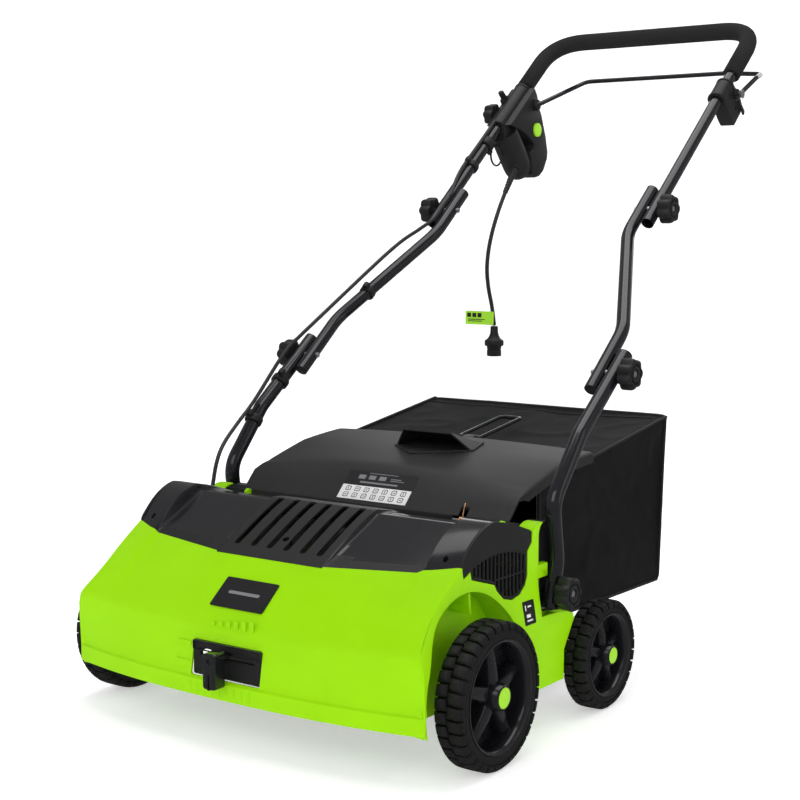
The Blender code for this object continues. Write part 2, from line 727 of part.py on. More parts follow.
def flap_profile(x):
    fold = 0.014 if abs(x) > 0.23 else 0
    drop = 0.012 * (x / 0.22) ** 2
    points = [(0.163, 0.274), (0.188, 0.2995), (0.214, 0.326 - drop - fold), (0.300, 0.338 - 0.4 * drop - fold),
              (0.392, 0.346 - 0.2 * drop - fold)]
    return [(x, y, z) for y, z in points]


def rear_flap():
    pivot = (0, *FLAP_ROD)
    flap = skin("rear_flap", BLACK_PLASTIC, [flap_profile(x) for x in mirrored(FLAP_STATIONS)], 0.0028, pivot)
    outer = [(0.272, 0.3665), (0.300, 0.3685), (0.354, 0.3440), (0.354, 0.3415), (0.272, 0.3325)]
    inner = [(0.26, 0.3638), (0.299, 0.3658), (0.342, 0.3450), (0.342, 0.3425), (0.26, 0.3340)]
    scoop = as_mesh(plate_x("scoop", None, outer, *SCOOP_X))
    cut(scoop, as_mesh(plate_x("scoop_space", None, inner, SCOOP_X[0] + 0.003, SCOOP_X[1] - 0.003)))
    join(flap, scoop)
    knuckle = [(0.161, 0.2610), (0.1705, 0.2610), (0.1725, 0.2805), (0.1640, 0.2740), (0.161, 0.270)]
    for x_low, x_high in ((-0.200, -0.170), (0.170, 0.200)):
        join(flap, as_mesh(plate_x("knuckle", None, knuckle, x_low, x_high)))
    cut(flap, drill_x(FLAP_ROD_R, FLAP_ROD, -0.21, 0.21, 12))
    notch = block("spring_notch", None, (0.151, 0.150, 0.260), (0.165, 0.172, 0.29))
    cut(flap, notch)


def flap_spring():
    """A torsion spring round the hinge rod, with a leg that presses on the flap."""
    inner = (FLAP_ROD_R + GAP) / math.cos(math.pi / 12)
    coil = ring_x("flap_spring", SPRING_STEEL, inner, 0.0052, FLAP_ROD, 0.1535, 0.1625, 12)
    leg = wire("leg", None, [(0.158, 0.1617, 0.2665), (0.158, 0.1600, 0.2760), (0.158, 0.1620, 0.2840)], 0.0009, 1)
    join(coil, as_mesh(leg))


BAG_SIDE = [(0.262, 0.112), (0.262, 0.312), (0.645, 0.370), (0.628, 0.108)]
BAG_HALF = 0.222
BAG_WALL = 0.003


def grass_bag():
    bag = as_mesh(plate_x("grass_bag", FABRIC, BAG_SIDE, -BAG_HALF, BAG_HALF))
    space = [(0.250, 0.115), (0.250, 0.3072), (0.6417, 0.3665), (0.6252, 0.111)]
    cut(bag, as_mesh(plate_x("bag_space", None, space, BAG_WALL - BAG_HALF, BAG_HALF - BAG_WALL)))
    across = BAG_HALF - BAG_WALL - 0.0038
    corners = [(-across, 0.119), (across, 0.119), (across, 0.3040), (-across, 0.3040)]
    loop = [(x, 0.267, z) for x, z in corners]
    wire("bag_frame", STEEL, loop, 0.003, 2, cyclic=True)
    route = [(-0.010, 0.423, 0.341), (-0.0185, 0.423, 0.341), (-0.0185, 0.542, 0.359), (0.0185, 0.542, 0.359),
             (0.0185, 0.423, 0.341), (0.010, 0.423, 0.341)]
    wire("bag_handle", STEEL, fillet(route, 0.006, 2), 0.003, 2, (0, 0.423, 0.341))


# Handle

def handle_brackets():
    for name, side in (("handle_bracket_left", -1), ("handle_bracket_right", 1)):
        x_low, x_high = sorted((side * 0.245, side * 0.270))
        boss = [(0.170, 0.156), (0.214, 0.156), (0.214, 0.205), (0.206, 0.262), (0.198, 0.274), (0.182, 0.274),
                (0.172, 0.262), (0.168, 0.215)]
        bracket = as_mesh(plate_x(name, BLACK_PLASTIC, boss, x_low, x_high))
        arm_low, arm_high = sorted((side * 0.2035, side * 0.262))
        join(bracket, block("arm", None, (arm_low, 0.1705, 0.1563), (arm_high, 0.2137, 0.212)))
        bore_low, bore_high = sorted((side * 0.2490, side * 0.28))
        cut(bracket, drill_x(STUD_R, KNOB_1, bore_low, bore_high, 12))


def lower_tube(name, side):
    route = [(0.187, 0.160), (0.203, 0.222), (0.191, 0.300), (0.262, 0.384), (0.358, 0.459), (0.388, 0.4826)]
    points = fillet([(side * LOWER_X, y, z) for y, z in route], 0.045, 3)
    tube = hollow_tube(name, GLOSS_BLACK, points, LOWER_R, 3, (side * LOWER_X, *KNOB_1))
    for centre in (KNOB_1, KNOB_2):
        low, high = sorted((side * 0.265, side * 0.30))
        cut(tube, drill_x(STUD_R, centre, low, high, 12))


def along_mid(side, x, along):
    return (side * x, KNOB_2[0] + along * math.cos(SLOPE), KNOB_2[1] + along * math.sin(SLOPE))


def mid_tube(name, side):
    route = [along_mid(side, MID_LOW_X, -0.035), along_mid(side, MID_LOW_X, 0.085),
             along_mid(side, MID_TOP_X, 0.300), along_mid(side, MID_TOP_X, 0.405)]
    tube = hollow_tube(name, GLOSS_BLACK, fillet(route, 0.10, 3), UPPER_R, 3, (side * MID_LOW_X, *KNOB_2))
    for centre, near, far in ((KNOB_2, 0.24, 0.28), (KNOB_3, 0.16, 0.195)):
        low, high = sorted((side * near, side * far))
        cut(tube, drill_x(STUD_R, centre, low, high, 12))


GRIP_START = 0.3505
GRIP_REACH = 0.484
CORNER_R = 0.065


def upper_route(start):
    corners = [(-UPPER_X, start), (-UPPER_X, GRIP_REACH), (UPPER_X, GRIP_REACH), (UPPER_X, start)]
    points = [(x, *on_handle(along, 0)) for x, along in corners]
    return fillet(points, CORNER_R, 6)


def upper_handle():
    pivot = (0, *KNOB_3)
    handle = hollow_tube("upper_handle", GLOSS_BLACK, upper_route(-0.035), UPPER_R, 3, pivot)
    for side in (-1, 1):
        low, high = sorted((side * 0.185, side * 0.215))
        cut(handle, drill_x(STUD_R, KNOB_3, low, high, 12))
    route = upper_route(GRIP_START)
    foam = as_mesh(wire("foam_grip", FOAM, route, 0.015, 4, pivot, caps=False))
    wall = foam.modifiers.new("wall", "SOLIDIFY")
    wall.thickness = 0.0042
    wall.offset = -1
    smooth(foam, 50)


BOX_OUTLINE = [(0.228, -0.015), (0.343, -0.016), (0.347, 0.020), (0.350, 0.070), (0.330, 0.125),
               (0.270, 0.132), (0.222, 0.105), (0.214, 0.060)]
BOX_X = (-0.2255, -0.1725)
BRACKET_OUTLINE = [(0.300, -0.015), (0.335, -0.015), (0.335, 0.030), (0.325, 0.055), (0.312, 0.058), (0.300, 0.030)]


def leg_bore(x, start, end):
    """A cutter for the hole that a leg of the upper handle passes through."""
    radius = (UPPER_R + GAP) / math.cos(math.pi / 16)
    middle = (x, *on_handle((start + end) / 2, 0))
    return cylinder("leg_bore", None, radius, end - start, 16, middle, (SLOPE - math.pi / 2, 0, 0))


def switch_box():
    outline = [on_handle(*point) for point in BOX_OUTLINE]
    box = as_mesh(plate_x("switch_box", BLACK_PLASTIC, outline, *BOX_X))
    cut(box, leg_bore(-UPPER_X, 0.20, 0.36), drill_x(BAIL_R, BAIL_PIVOT, -0.182, -0.160, 12),
        drill_x(0.0143, on_handle(*BUTTON_SP), -0.1785, -0.165, 24))
    profile = [(0, -0.168), (0.012, -0.168), (0.014, -0.170), (0.014, -0.1745), (0, -0.1745)]
    turned_x("safety_button", LIME, profile, on_handle(*BUTTON_SP), 24)


def bail():
    bracket = as_mesh(plate_x("bail_bracket", BLACK_PLASTIC, [on_handle(*p) for p in BRACKET_OUTLINE], 0.187, 0.214))
    cut(bracket, leg_bore(UPPER_X, 0.28, 0.36), drill_x(BAIL_R, BAIL_PIVOT, 0.2050, 0.220, 12))
    y, z = BAIL_PIVOT
    corners = [(-0.180, y, z), (-0.165, y, z), (-0.137, 1.020, 0.928), (0.137, 1.020, 0.928),
               (0.214, 1.000, 0.921), (0.222, 0.959, 0.911), (0.222, y, z), (0.207, y, z)]
    wire("bail_bar", GLOSS_BLACK, fillet(corners, 0.016, 2), BAIL_R, 2, (0, *BAIL_PIVOT))


# Star knobs

def knob_outline(centre):
    points = []
    for index in range(28):
        angle = 2 * math.pi * index / 28
        radius = 0.0207 + 0.0021 * math.cos(7 * angle)
        points.append((centre[0] + radius * math.cos(angle), centre[1] + radius * math.sin(angle)))
    return points


def star_knob(name, side, centre, near, stud_end):
    """A lobed knob moulded on its stud; near and stud_end are distances from the machine's middle."""
    low, high = sorted((side * near, side * (near + 0.022)))
    knob = as_mesh(plate_x(name, BLACK_PLASTIC, knob_outline(centre), low, high, (), centre))
    stud_low, stud_high = sorted((side * stud_end, side * (near + 0.005)))
    join(knob, rod_x("stud", None, STUD_R, centre, stud_low, stud_high, 12))


def star_knobs():
    for word, side in (("left", -1), ("right", 1)):
        star_knob("bracket_knob_" + word, side, KNOB_1, 0.2945, 0.2500)
        star_knob("fold_knob_" + word, side, KNOB_2, 0.2945, 0.2455)
        star_knob("grip_knob_" + word, side, KNOB_3, 0.2120, 0.1645)


# Cables and the power cord

def motor_cable():
    pivot = (0, *KNOB_1)
    wire("motor_cable_lower", RUBBER, smooth_route(LOWER_CABLE, 0.018), CABLE_R, 1, pivot)
    wire("motor_cable_mid", RUBBER, smooth_route(MID_CABLE, 0.05), CABLE_R, 1, (0, *KNOB_2))
    upper = [(x, *on_handle(along, below)) for x, along, below in UPPER_CABLE_SP]
    wire("motor_cable_upper", RUBBER, smooth_route(upper, 0.05), CABLE_R, 1, (0, *KNOB_3))


def power_cord():
    points = [(CORD_X, y, z) for y, z in CORD_ROUTE]
    wire("power_cord", RUBBER, smooth_route(points, 0.018), CORD_R, 2)
    start = Vector(points[0])
    along = (Vector(points[2]) - start).normalized()
    turn = along.to_track_quat("-Z", "X").to_euler()
    inner = (CORD_R + GAP) / math.cos(math.pi / 12)
    sleeve = [(0.0066, 0), (0.0046, -0.053), (inner, -0.053), (inner, 0)]
    turned("cord_sleeve", RUBBER, sleeve, 12, True, start, turn)
    end = Vector(points[-1])
    plug = [(0, -0.0016), (0.0060, -0.0016), (0.0075, -0.014), (0.0115, -0.024), (0.0170, -0.028),
            (0.0170, -0.036), (0.0128, -0.038), (0.0128, -0.055), (0, -0.055)]
    smooth(turned("plug", RUBBER, plug, 20, False, end, (0, 0, 0)))


clear_scene()
MACHINE = bpy.data.objects.new("machine", None)
bpy.context.scene.collection.objects.link(MACHINE)
MACHINE.location = (0, SHIFT_Y, 0)
bpy.context.view_layer.update()
front_shell()
motor_cover()
side_grilles()
side_plates()
reel_hood()
motor()
motor_shaft_pulley()
drive_belt()
reel()
depth_lever()
depth_linkage()
wheels()
hinge_rail()
rear_flap()
flap_spring()
grass_bag()
handle_brackets()
for word, side_sign in (("left", -1), ("right", 1)):
    lower_tube("lower_tube_" + word, side_sign)
    mid_tube("mid_tube_" + word, side_sign)
upper_handle()
switch_box()
bail()
star_knobs()
motor_cable()
power_cord()
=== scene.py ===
"""The looks of the lawn dethatcher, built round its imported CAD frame."""

import json
import math

import bmesh
import bpy
from mathutils import Matrix, Vector, noise


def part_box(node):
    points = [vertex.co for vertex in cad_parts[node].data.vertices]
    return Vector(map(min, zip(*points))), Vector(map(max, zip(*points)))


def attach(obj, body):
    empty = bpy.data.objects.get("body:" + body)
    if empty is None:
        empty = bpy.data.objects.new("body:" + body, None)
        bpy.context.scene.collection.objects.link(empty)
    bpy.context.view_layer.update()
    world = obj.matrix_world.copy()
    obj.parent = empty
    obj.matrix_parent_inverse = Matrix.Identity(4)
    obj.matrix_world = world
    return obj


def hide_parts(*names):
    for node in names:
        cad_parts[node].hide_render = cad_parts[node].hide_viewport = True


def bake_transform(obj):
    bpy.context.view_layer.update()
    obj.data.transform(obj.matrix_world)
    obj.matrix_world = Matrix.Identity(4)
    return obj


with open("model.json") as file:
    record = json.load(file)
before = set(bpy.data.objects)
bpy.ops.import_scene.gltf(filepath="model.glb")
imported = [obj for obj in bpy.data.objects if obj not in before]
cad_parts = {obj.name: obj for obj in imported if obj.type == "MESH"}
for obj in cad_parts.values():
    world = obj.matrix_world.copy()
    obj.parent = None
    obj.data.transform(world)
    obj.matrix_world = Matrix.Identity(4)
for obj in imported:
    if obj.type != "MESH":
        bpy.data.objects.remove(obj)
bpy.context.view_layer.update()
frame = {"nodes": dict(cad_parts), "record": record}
NODES = frame["nodes"]


def middle(node):
    low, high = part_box(node)
    return (low + high) / 2


# The machine's own frame has its front axle at y = 0; these come from the CAD nodes
SHIFT = middle("front_axle").y
FRONT_R = middle("front_axle").z
REAR_R = middle("rear_axle").z
REAR_Y = middle("rear_axle").y - SHIFT
KNOB_1 = (middle("bracket_knob_right").y - SHIFT, middle("bracket_knob_right").z)
KNOB_2 = (middle("fold_knob_right").y - SHIFT, middle("fold_knob_right").z)
KNOB_3 = (middle("grip_knob_right").y - SHIFT, middle("grip_knob_right").z)
SLOPE = math.radians(39.8)


# Mesh and curve helpers

def link(name, data, finish, location=(0, 0, 0), rotation=(0, 0, 0)):
    obj = bpy.data.objects.new(name, data)
    bpy.context.scene.collection.objects.link(obj)
    obj.location = Vector(location) + Vector((0, SHIFT, 0))
    obj.rotation_euler = rotation
    if finish is not None:
        data.materials.append(finish)
    else:
        obj.hide_render = True
        obj.hide_viewport = False
        obj.display_type = "WIRE"
    return obj


def show(obj, body, slot, *replaced):
    """Make a piece ride on a body and stand for CAD nodes; its slot argument is not used."""
    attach(obj, body)
    if replaced:
        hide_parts(*replaced)
    return obj


def clamped(value):
    return min(max(value, 0), 1)


def eased(t):
    return t * t * (3 - 2 * t)


def span(side, near, far):
    """The lower and the higher x of a stretch on one side of the machine."""
    return sorted((side * near, side * far))


def mesh_of(name, shape):
    """A mesh made from a bmesh, which is freed."""
    mesh = bpy.data.meshes.new(name)
    shape.to_mesh(mesh)
    shape.free()
    return mesh


def bridge(shape, rings):
    """Faces between closed rings of corners, with a cap on each end."""
    count = len(rings[0])
    for a, b in zip(rings, rings[1:]):
        for j in range(count):
            k = (j + 1) % count
            shape.faces.new((a[j], a[k], b[k], b[j]))
    shape.faces.new(rings[0])
    shape.faces.new(rings[-1])


def evaluated(obj):
    bpy.context.view_layer.update()
    return bpy.data.meshes.new_from_object(obj.evaluated_get(bpy.context.evaluated_depsgraph_get()))


def as_mesh(obj):
    """A curve object turned into a mesh object with welded caps."""
    mesh = evaluated(obj)
    shape = bmesh.new()
    shape.from_mesh(mesh)
    bmesh.ops.remove_doubles(shape, verts=shape.verts, dist=0.00002)
    shape.to_mesh(mesh)
    shape.free()
    made = bpy.data.objects.new(obj.name + "_mesh", mesh)
    made.matrix_world = obj.matrix_world
    made.hide_render = obj.hide_render
    made.display_type = obj.display_type
    bpy.context.scene.collection.objects.link(made)
    name = obj.name
    bpy.data.objects.remove(obj, do_unlink=True)
    made.name = name
    return made


def smooth(obj, angle=40):
    obj.data.shade_smooth()
    obj.data.set_sharp_from_angle(angle=math.radians(angle))
    return obj


def applied(obj):
    """Apply every modifier, so that the piece is a plain mesh."""
    mesh = evaluated(obj)
    old = obj.data
    obj.modifiers.clear()
    obj.data = mesh
    if old.users == 0:
        bpy.data.meshes.remove(old)
    return obj


def boolean(obj, other, operation="DIFFERENCE"):
    modifier = obj.modifiers.new(operation.lower(), "BOOLEAN")
    modifier.operation = operation
    modifier.object = other
    modifier.solver = "EXACT"
    applied(obj)
    bpy.data.objects.remove(other, do_unlink=True)
    return obj


def bevelled(obj, width, segments=2, angle=30):
    modifier = obj.modifiers.new("round", "BEVEL")
    modifier.width = width
    modifier.segments = segments
    modifier.limit_method = "ANGLE"
    modifier.angle_limit = math.radians(angle)
    modifier.harden_normals = True
    return applied(obj)


def arc(centre, radius, start, end, steps):
    across, up = radius if isinstance(radius, tuple) else (radius, radius)
    points = []
    for step in range(steps + 1):
        angle = math.radians(start + (end - start) * step / steps)
        points.append((centre[0] + across * math.cos(angle), centre[1] + up * math.sin(angle)))
    return points


def ring(centre, radius, steps):
    return arc(centre, radius, 0, 360, steps)[:-1]


def rectangle(low, high):
    return [(low[0], low[1]), (high[0], low[1]), (high[0], high[1]), (low[0], high[1])]


def rounded(points, radius, steps=4):
    """A closed outline with every corner rounded."""
    made = []
    count = len(points)
    for index in range(count):
        before, corner, after = (Vector(points[(index + k) % count]) for k in (-1, 0, 1))
        inward = (before - corner)
        outward = (after - corner)
        reach = min(radius, inward.length * 0.45, outward.length * 0.45)
        start = corner + inward.normalized() * reach
        end = corner + outward.normalized() * reach
        for step in range(steps + 1):
            t = step / steps
            made.append(tuple(start * (1 - t) ** 2 + corner * 2 * t * (1 - t) + end * t ** 2))
    return made


def fillet(points, radius, steps=8):
    """A route in space with its corners rounded."""
    corners = [Vector(point) for point in points]
    route = [corners[0]]
    for before, corner, after in zip(corners, corners[1:], corners[2:]):
        inward = (before - corner).normalized()
        outward = (after - corner).normalized()
        half = inward.angle(outward) / 2
        reach = min(radius / math.tan(half), 0.49 * (before - corner).length, 0.49 * (after - corner).length)
        start = corner + inward * reach
        end = corner + outward * reach
        for step in range(steps + 1):
            t = step / steps
            route.append(start * (1 - t) ** 2 + corner * 2 * t * (1 - t) + end * t ** 2)
    route.append(corners[-1])
    return route


def smooth_route(points, spacing):
    """A smooth curve through the points, with a point about every spacing."""
    knots = [Vector(point) for point in points]
    knots = [knots[0] * 2 - knots[1]] + knots + [knots[-1] * 2 - knots[-2]]
    fine = []
    for p0, p1, p2, p3 in zip(knots, knots[1:], knots[2:], knots[3:]):
        for step in range(20):
            t = step / 20
            fine.append(0.5 * (2 * p1 + (p2 - p0) * t + (2 * p0 - 5 * p1 + 4 * p2 - p3) * t ** 2
                               + (3 * p1 - p0 - 3 * p2 + p3) * t ** 3))
    fine.append(knots[-2])
    total = sum((b - a).length for a, b in zip(fine, fine[1:]))
    count = max(round(total / spacing), 2)
    route = [fine[0]]
    walked = 0.0
    for a, b in zip(fine, fine[1:]):
        walked += (b - a).length
        if walked >= total * len(route) / count and len(route) < count:
            route.append(b)
    return route + [fine[-1]]


def on_handle(along, below):
    """The (y, z) of a point along the upper handle's legs from the third knob, and below them."""
    return (KNOB_3[0] + along * math.cos(SLOPE) + below * math.sin(SLOPE),
            KNOB_3[1] + along * math.sin(SLOPE) - below * math.cos(SLOPE))


def flat_curve(name, outline, thickness, holes, edge):
    data = bpy.data.curves.new(name, "CURVE")
    data.dimensions = "2D"
    data.fill_mode = "BOTH"
    data.extrude = thickness / 2 - edge
    data.bevel_depth = edge
    data.bevel_resolution = 2
    data.offset = -edge
    for points in [outline, *holes]:
        spline = data.splines.new("POLY")
        spline.points.add(len(points) - 1)
        spline.use_cyclic_u = True
        for point, (across, up) in zip(spline.points, points):
            point.co = (across, up, 0, 1)
    return data


def plate_x(name, finish, outline, x_low, x_high, holes=(), edge=0.0):
    data = flat_curve(name, outline, x_high - x_low, holes, edge)
    return as_mesh(link(name, data, finish, ((x_low + x_high) / 2, 0, 0), (math.pi / 2, 0, math.pi / 2)))


def plate_y(name, finish, outline, y_low, y_high, holes=(), edge=0.0):
    data = flat_curve(name, outline, y_high - y_low, holes, edge)
    return as_mesh(link(name, data, finish, (0, (y_low + y_high) / 2, 0), (math.pi / 2, 0, 0)))


def block(name, finish, low, high, edge=0.0):
    shape = bmesh.new()
    bmesh.ops.create_cube(shape, size=1)
    bmesh.ops.scale(shape, vec=[b - a for a, b in zip(low, high)], verts=shape.verts)
    bmesh.ops.translate(shape, vec=[(a + b) / 2 for a, b in zip(low, high)], verts=shape.verts)
    obj = link(name, mesh_of(name, shape), finish)
    return smooth(bevelled(obj, edge), 60) if edge else obj


def turned(name, finish, profile, steps, closed, location, rotation):
    """A profile of (radius, height) turned round its own z axis."""
    shape = bmesh.new()
    verts = [shape.verts.new((radius, 0, height)) for radius, height in profile]
    for a, b in zip(verts, verts[1:]):
        shape.edges.new((a, b))
    if closed:
        shape.edges.new((verts[-1], verts[0]))
    obj = link(name, mesh_of(name, shape), finish, location, rotation)
    screw = obj.modifiers.new("turn", "SCREW")
    screw.steps = steps
    screw.render_steps = steps
    screw.use_merge_vertices = True
    screw.merge_threshold = 0.00001
    return smooth(applied(obj), 38)


def turned_x(name, finish, profile, centre, steps=32, closed=False, x=0.0, flip=False):
    turn = -math.pi / 2 if flip else math.pi / 2
    return turned(name, finish, profile, steps, closed, (x, *centre), (0, turn, 0))


def rod_x(name, finish, radius, centre, x_low, x_high, steps=24, edge=0.0004):
    profile = [(0, x_high), (radius - edge, x_high), (radius, x_high - edge), (radius, x_low + edge),
               (radius - edge, x_low), (0, x_low)]
    return turned_x(name, finish, profile, centre, steps)


def wire(name, finish, points, radius, resolution=5, cyclic=False, caps=True):
    data = bpy.data.curves.new(name, "CURVE")
    data.dimensions = "3D"
    data.bevel_depth = radius
    data.bevel_resolution = resolution
    data.use_fill_caps = caps
    spline = data.splines.new("POLY")
    spline.points.add(len(points) - 1)
    spline.use_cyclic_u = cyclic
    for point, at in zip(spline.points, points):
        point.co = (*at, 1)
    spline.use_smooth = True
    return link(name, data, finish)


def tube(name, finish, points, radius, wall=0.0012, resolution=6):
    obj = as_mesh(wire(name, finish, points, radius, resolution, caps=False))
    solidify = obj.modifiers.new("wall", "SOLIDIFY")
    solidify.thickness = wall
    solidify.offset = -1
    return smooth(applied(obj), 50)


def skin(name, finish, rows, thickness, angle=35):
    """A shell lofted through open rows of points."""
    shape = bmesh.new()
    grid = [[shape.verts.new(point) for point in row] for row in rows]
    for row, following in zip(grid, grid[1:]):
        for j in range(len(row) - 1):
            shape.faces.new((row[j], following[j], following[j + 1], row[j + 1]))
    obj = link(name, mesh_of(name, shape), finish)
    solidify = obj.modifiers.new("wall", "SOLIDIFY")
    solidify.thickness = thickness
    solidify.offset = -1
    solidify.use_even_offset = True
    return smooth(applied(obj), angle)


def slab(name, finish, bottom, top):
    """A flat piece between two outlines with the same number of corners."""
    shape = bmesh.new()
    low = [shape.verts.new(point) for point in bottom]
    high = [shape.verts.new(point) for point in top]
    shape.faces.new(low[::-1])
    shape.faces.new(high)
    for j in range(len(low)):
        k = (j + 1) % len(low)
        shape.faces.new((low[j], low[k], high[k], high[j]))
    bmesh.ops.recalc_face_normals(shape, faces=shape.faces)
    return link(name, mesh_of(name, shape), finish)


def between(table, x):
    """The values at x in a table of rows that start with their x, in between by straight lines."""
    for low, high in zip(table, table[1:]):
        if x <= high[0]:
            t = max(x - low[0], 0) / (high[0] - low[0])
            return [a + (b - a) * t for a, b in zip(low[1:], high[1:])]
    return list(table[-1][1:])


def joined(name, objects):
    """One mesh object from several that stay separate bodies."""
    bpy.context.view_layer.update()
    shape = bmesh.new()
    materials = []
    for obj in objects:
        mesh = obj.data.copy()
        mesh.transform(obj.matrix_world)
        for polygon in mesh.polygons:
            material = obj.data.materials[polygon.material_index]
            if material not in materials:
                materials.append(material)
            polygon.material_index = materials.index(material)
        shape.from_mesh(mesh)
        bpy.data.meshes.remove(mesh)
    made = bpy.data.meshes.new(name)
    shape.to_mesh(made)
    shape.free()
    for material in materials:
        made.materials.append(material)
    for obj in objects:
        bpy.data.objects.remove(obj, do_unlink=True)
    obj = bpy.data.objects.new(name, made)
    bpy.context.scene.collection.objects.link(obj)
    return obj


# Materials

def nodes_of(material):
    tree = material.node_tree
    return tree.nodes, tree.links, tree.nodes["Principled BSDF"]


def node(nodes, kind, **values):
    """A new shader node of this kind, with its sockets set by name."""
    made = nodes.new("ShaderNode" + kind)
    for socket, value in values.items():
        made.inputs[socket.replace("_", " ")].default_value = value
    return made


def bumped(material, height, strength, distance):
    nodes, links, shader = nodes_of(material)
    bump = node(nodes, "Bump", Strength=strength, Distance=distance)
    links.new(height, bump.inputs["Height"])
    links.new(bump.outputs["Normal"], shader.inputs["Normal"])


def finish(name, colour, roughness, spread=0.06, grain=0.0, grain_scale=900.0, metallic=0.0, coat=0.0,
           tint=0.06, cloud=9.0, specular=0.5):
    """A moulded or painted surface: cloudy roughness and colour, and a fine grain in its bump."""
    material = bpy.data.materials.new(name)
    material.use_nodes = True
    nodes, links, shader = nodes_of(material)
    for socket, value in (("Metallic", metallic), ("Coat Weight", coat), ("Coat Roughness", 0.08),
                          ("Specular IOR Level", specular)):
        shader.inputs[socket].default_value = value
    place = nodes.new("ShaderNodeTexCoord")
    cloudy = node(nodes, "TexNoise", Scale=cloud, Detail=6.0)
    links.new(place.outputs["Object"], cloudy.inputs["Vector"])
    rough = node(nodes, "MapRange", To_Min=max(roughness - spread, 0.02), To_Max=roughness + spread)
    links.new(cloudy.outputs["Fac"], rough.inputs["Value"])
    links.new(rough.outputs["Result"], shader.inputs["Roughness"])
    ramp = nodes.new("ShaderNodeValToRGB")
    for end, position, change in zip(ramp.color_ramp.elements, (0.3, 0.7), (1 - tint, 1 + tint)):
        end.position = position
        end.color = (*[min(c * change, 1) for c in colour], 1)
    links.new(cloudy.outputs["Fac"], ramp.inputs["Fac"])
    links.new(ramp.outputs["Color"], shader.inputs["Base Color"])
    if grain:
        fine = node(nodes, "TexNoise", Scale=grain_scale, Detail=2.0)
        links.new(place.outputs["Object"], fine.inputs["Vector"])
        bumped(material, fine.outputs["Fac"], grain, 0.0004)
    return material


def weave(name, colour, roughness):
    """Coarse woven polyester: three crossed waves make the threads, over a cloudy base."""
    material = finish(name, colour, roughness, spread=0.05, tint=0.18, cloud=24.0, specular=0.12)
    nodes, links, shader = nodes_of(material)
    total = None
    for direction, distortion in (("X", 0.6), ("Z", 0.6), ("Y", 0.0)):
        wave = node(nodes, "TexWave", Scale=420.0, Distortion=distortion)
        wave.bands_direction = direction
        links.new(nodes["Texture Coordinate"].outputs["Object"], wave.inputs["Vector"])
        height = wave.outputs["Fac"]
        if total:
            added = nodes.new("ShaderNodeMath")
            added.operation = "ADD"
            links.new(total, added.inputs[0])
            links.new(height, added.inputs[1])
            height = added.outputs["Value"]
        total = height
    bumped(material, total, 0.35, 0.0004)
    shader.inputs["Sheen Weight"].default_value = 0.03
    shader.inputs["Sheen Roughness"].default_value = 0.5
    return material


def brushed(name, colour, roughness):
    """Zinc-plated or drawn metal with fine lengthwise scratches."""
    material = finish(name, colour, roughness, spread=0.08, metallic=1.0, tint=0.1, cloud=14.0)
    nodes, links, _ = nodes_of(material)
    stretch = node(nodes, "Mapping", Scale=(30.0, 900.0, 900.0))
    links.new(nodes["Texture Coordinate"].outputs["Object"], stretch.inputs["Vector"])
    lines = node(nodes, "TexNoise", Scale=2.0)
    links.new(stretch.outputs["Vector"], lines.inputs["Vector"])
    bumped(material, lines.outputs["Fac"], 0.12, 0.0002)
    return material


GREEN = finish("green_moulding", (0.312, 0.7, 0.001), 0.42, 0.04, 0.05, 1400, tint=0.03, specular=0.1)
SATIN = finish("black_moulding", (0.014, 0.014, 0.015), 0.44, 0.05, 0.1, 1500, tint=0.1, specular=0.4)
FLAP = finish("flap_moulding", (0.02, 0.02, 0.0205), 0.5, 0.05, 0.1, 1500, tint=0.1, specular=0.4)
GLOSS = finish("gloss_moulding", (0.01, 0.01, 0.012), 0.18, 0.04, 0.02, 500, coat=0.3)
COAT = finish("powder_coat", (0.008, 0.008, 0.011), 0.13, 0.03, 0.03, 700, coat=0.6)
RUBBER = finish("tyre_rubber", (0.011, 0.0105, 0.0105), 0.58, 0.08, 0.2, 900, tint=0.15, specular=0.25)
FOAM = finish("foam", (0.016, 0.016, 0.017), 0.85, 0.06, 0.6, 1600, specular=0.3)
SHEATH = finish("cable_sheath", (0.02, 0.02, 0.022), 0.42, 0.05, 0.05, 900)
ZINC = brushed("zinc_plate", (0.66, 0.66, 0.68), 0.3)
STEEL = brushed("bright_steel", (0.72, 0.72, 0.73), 0.22)
COPPER = brushed("copper_wire", (0.66, 0.36, 0.2), 0.25)
FABRIC = weave("bag_fabric", (0.0055, 0.0055, 0.006), 0.72)
PIPING = finish("piping", (0.012, 0.012, 0.013), 0.6, 0.05, 0.3, 1200)
LIME = finish("lime_moulding", (0.36, 0.76, 0.02), 0.34, 0.04, 0.04, 900, tint=0.03)
WHITE = finish("label_white", (0.8, 0.8, 0.8), 0.4, 0.04)
INK = finish("label_black", (0.012, 0.011, 0.013), 0.36, 0.04)
GREY_INK = finish("label_grey", (0.2, 0.2, 0.21), 0.45, 0.04)
# Painted shade: a near-black finish put in holes, grooves and behind slots in place of the shade that falls
# inside them.
PAINTED_SHADE = finish("painted_shade", (0.006, 0.006, 0.007), 0.6, 0.05)

CAD_LOOKS = {
    "green_shell": GREEN, "black_plastic": SATIN, "gloss_black_plastic": GLOSS, "black_tube": COAT,
    "zinc_steel": ZINC, "spring_steel": COPPER, "tyre_rubber": RUBBER, "foam": FOAM,
    "cable_rubber": SHEATH, "bag_fabric": FABRIC, "lime_plastic": LIME,
}


def paint_cad_nodes():
    for part in frame["record"]["subparts"]:
        obj = NODES[part["node"]]
        obj.data.materials.clear()
        obj.data.materials.append(CAD_LOOKS[part["material_slot"]])
        smooth(obj, 32)


paint_cad_nodes()

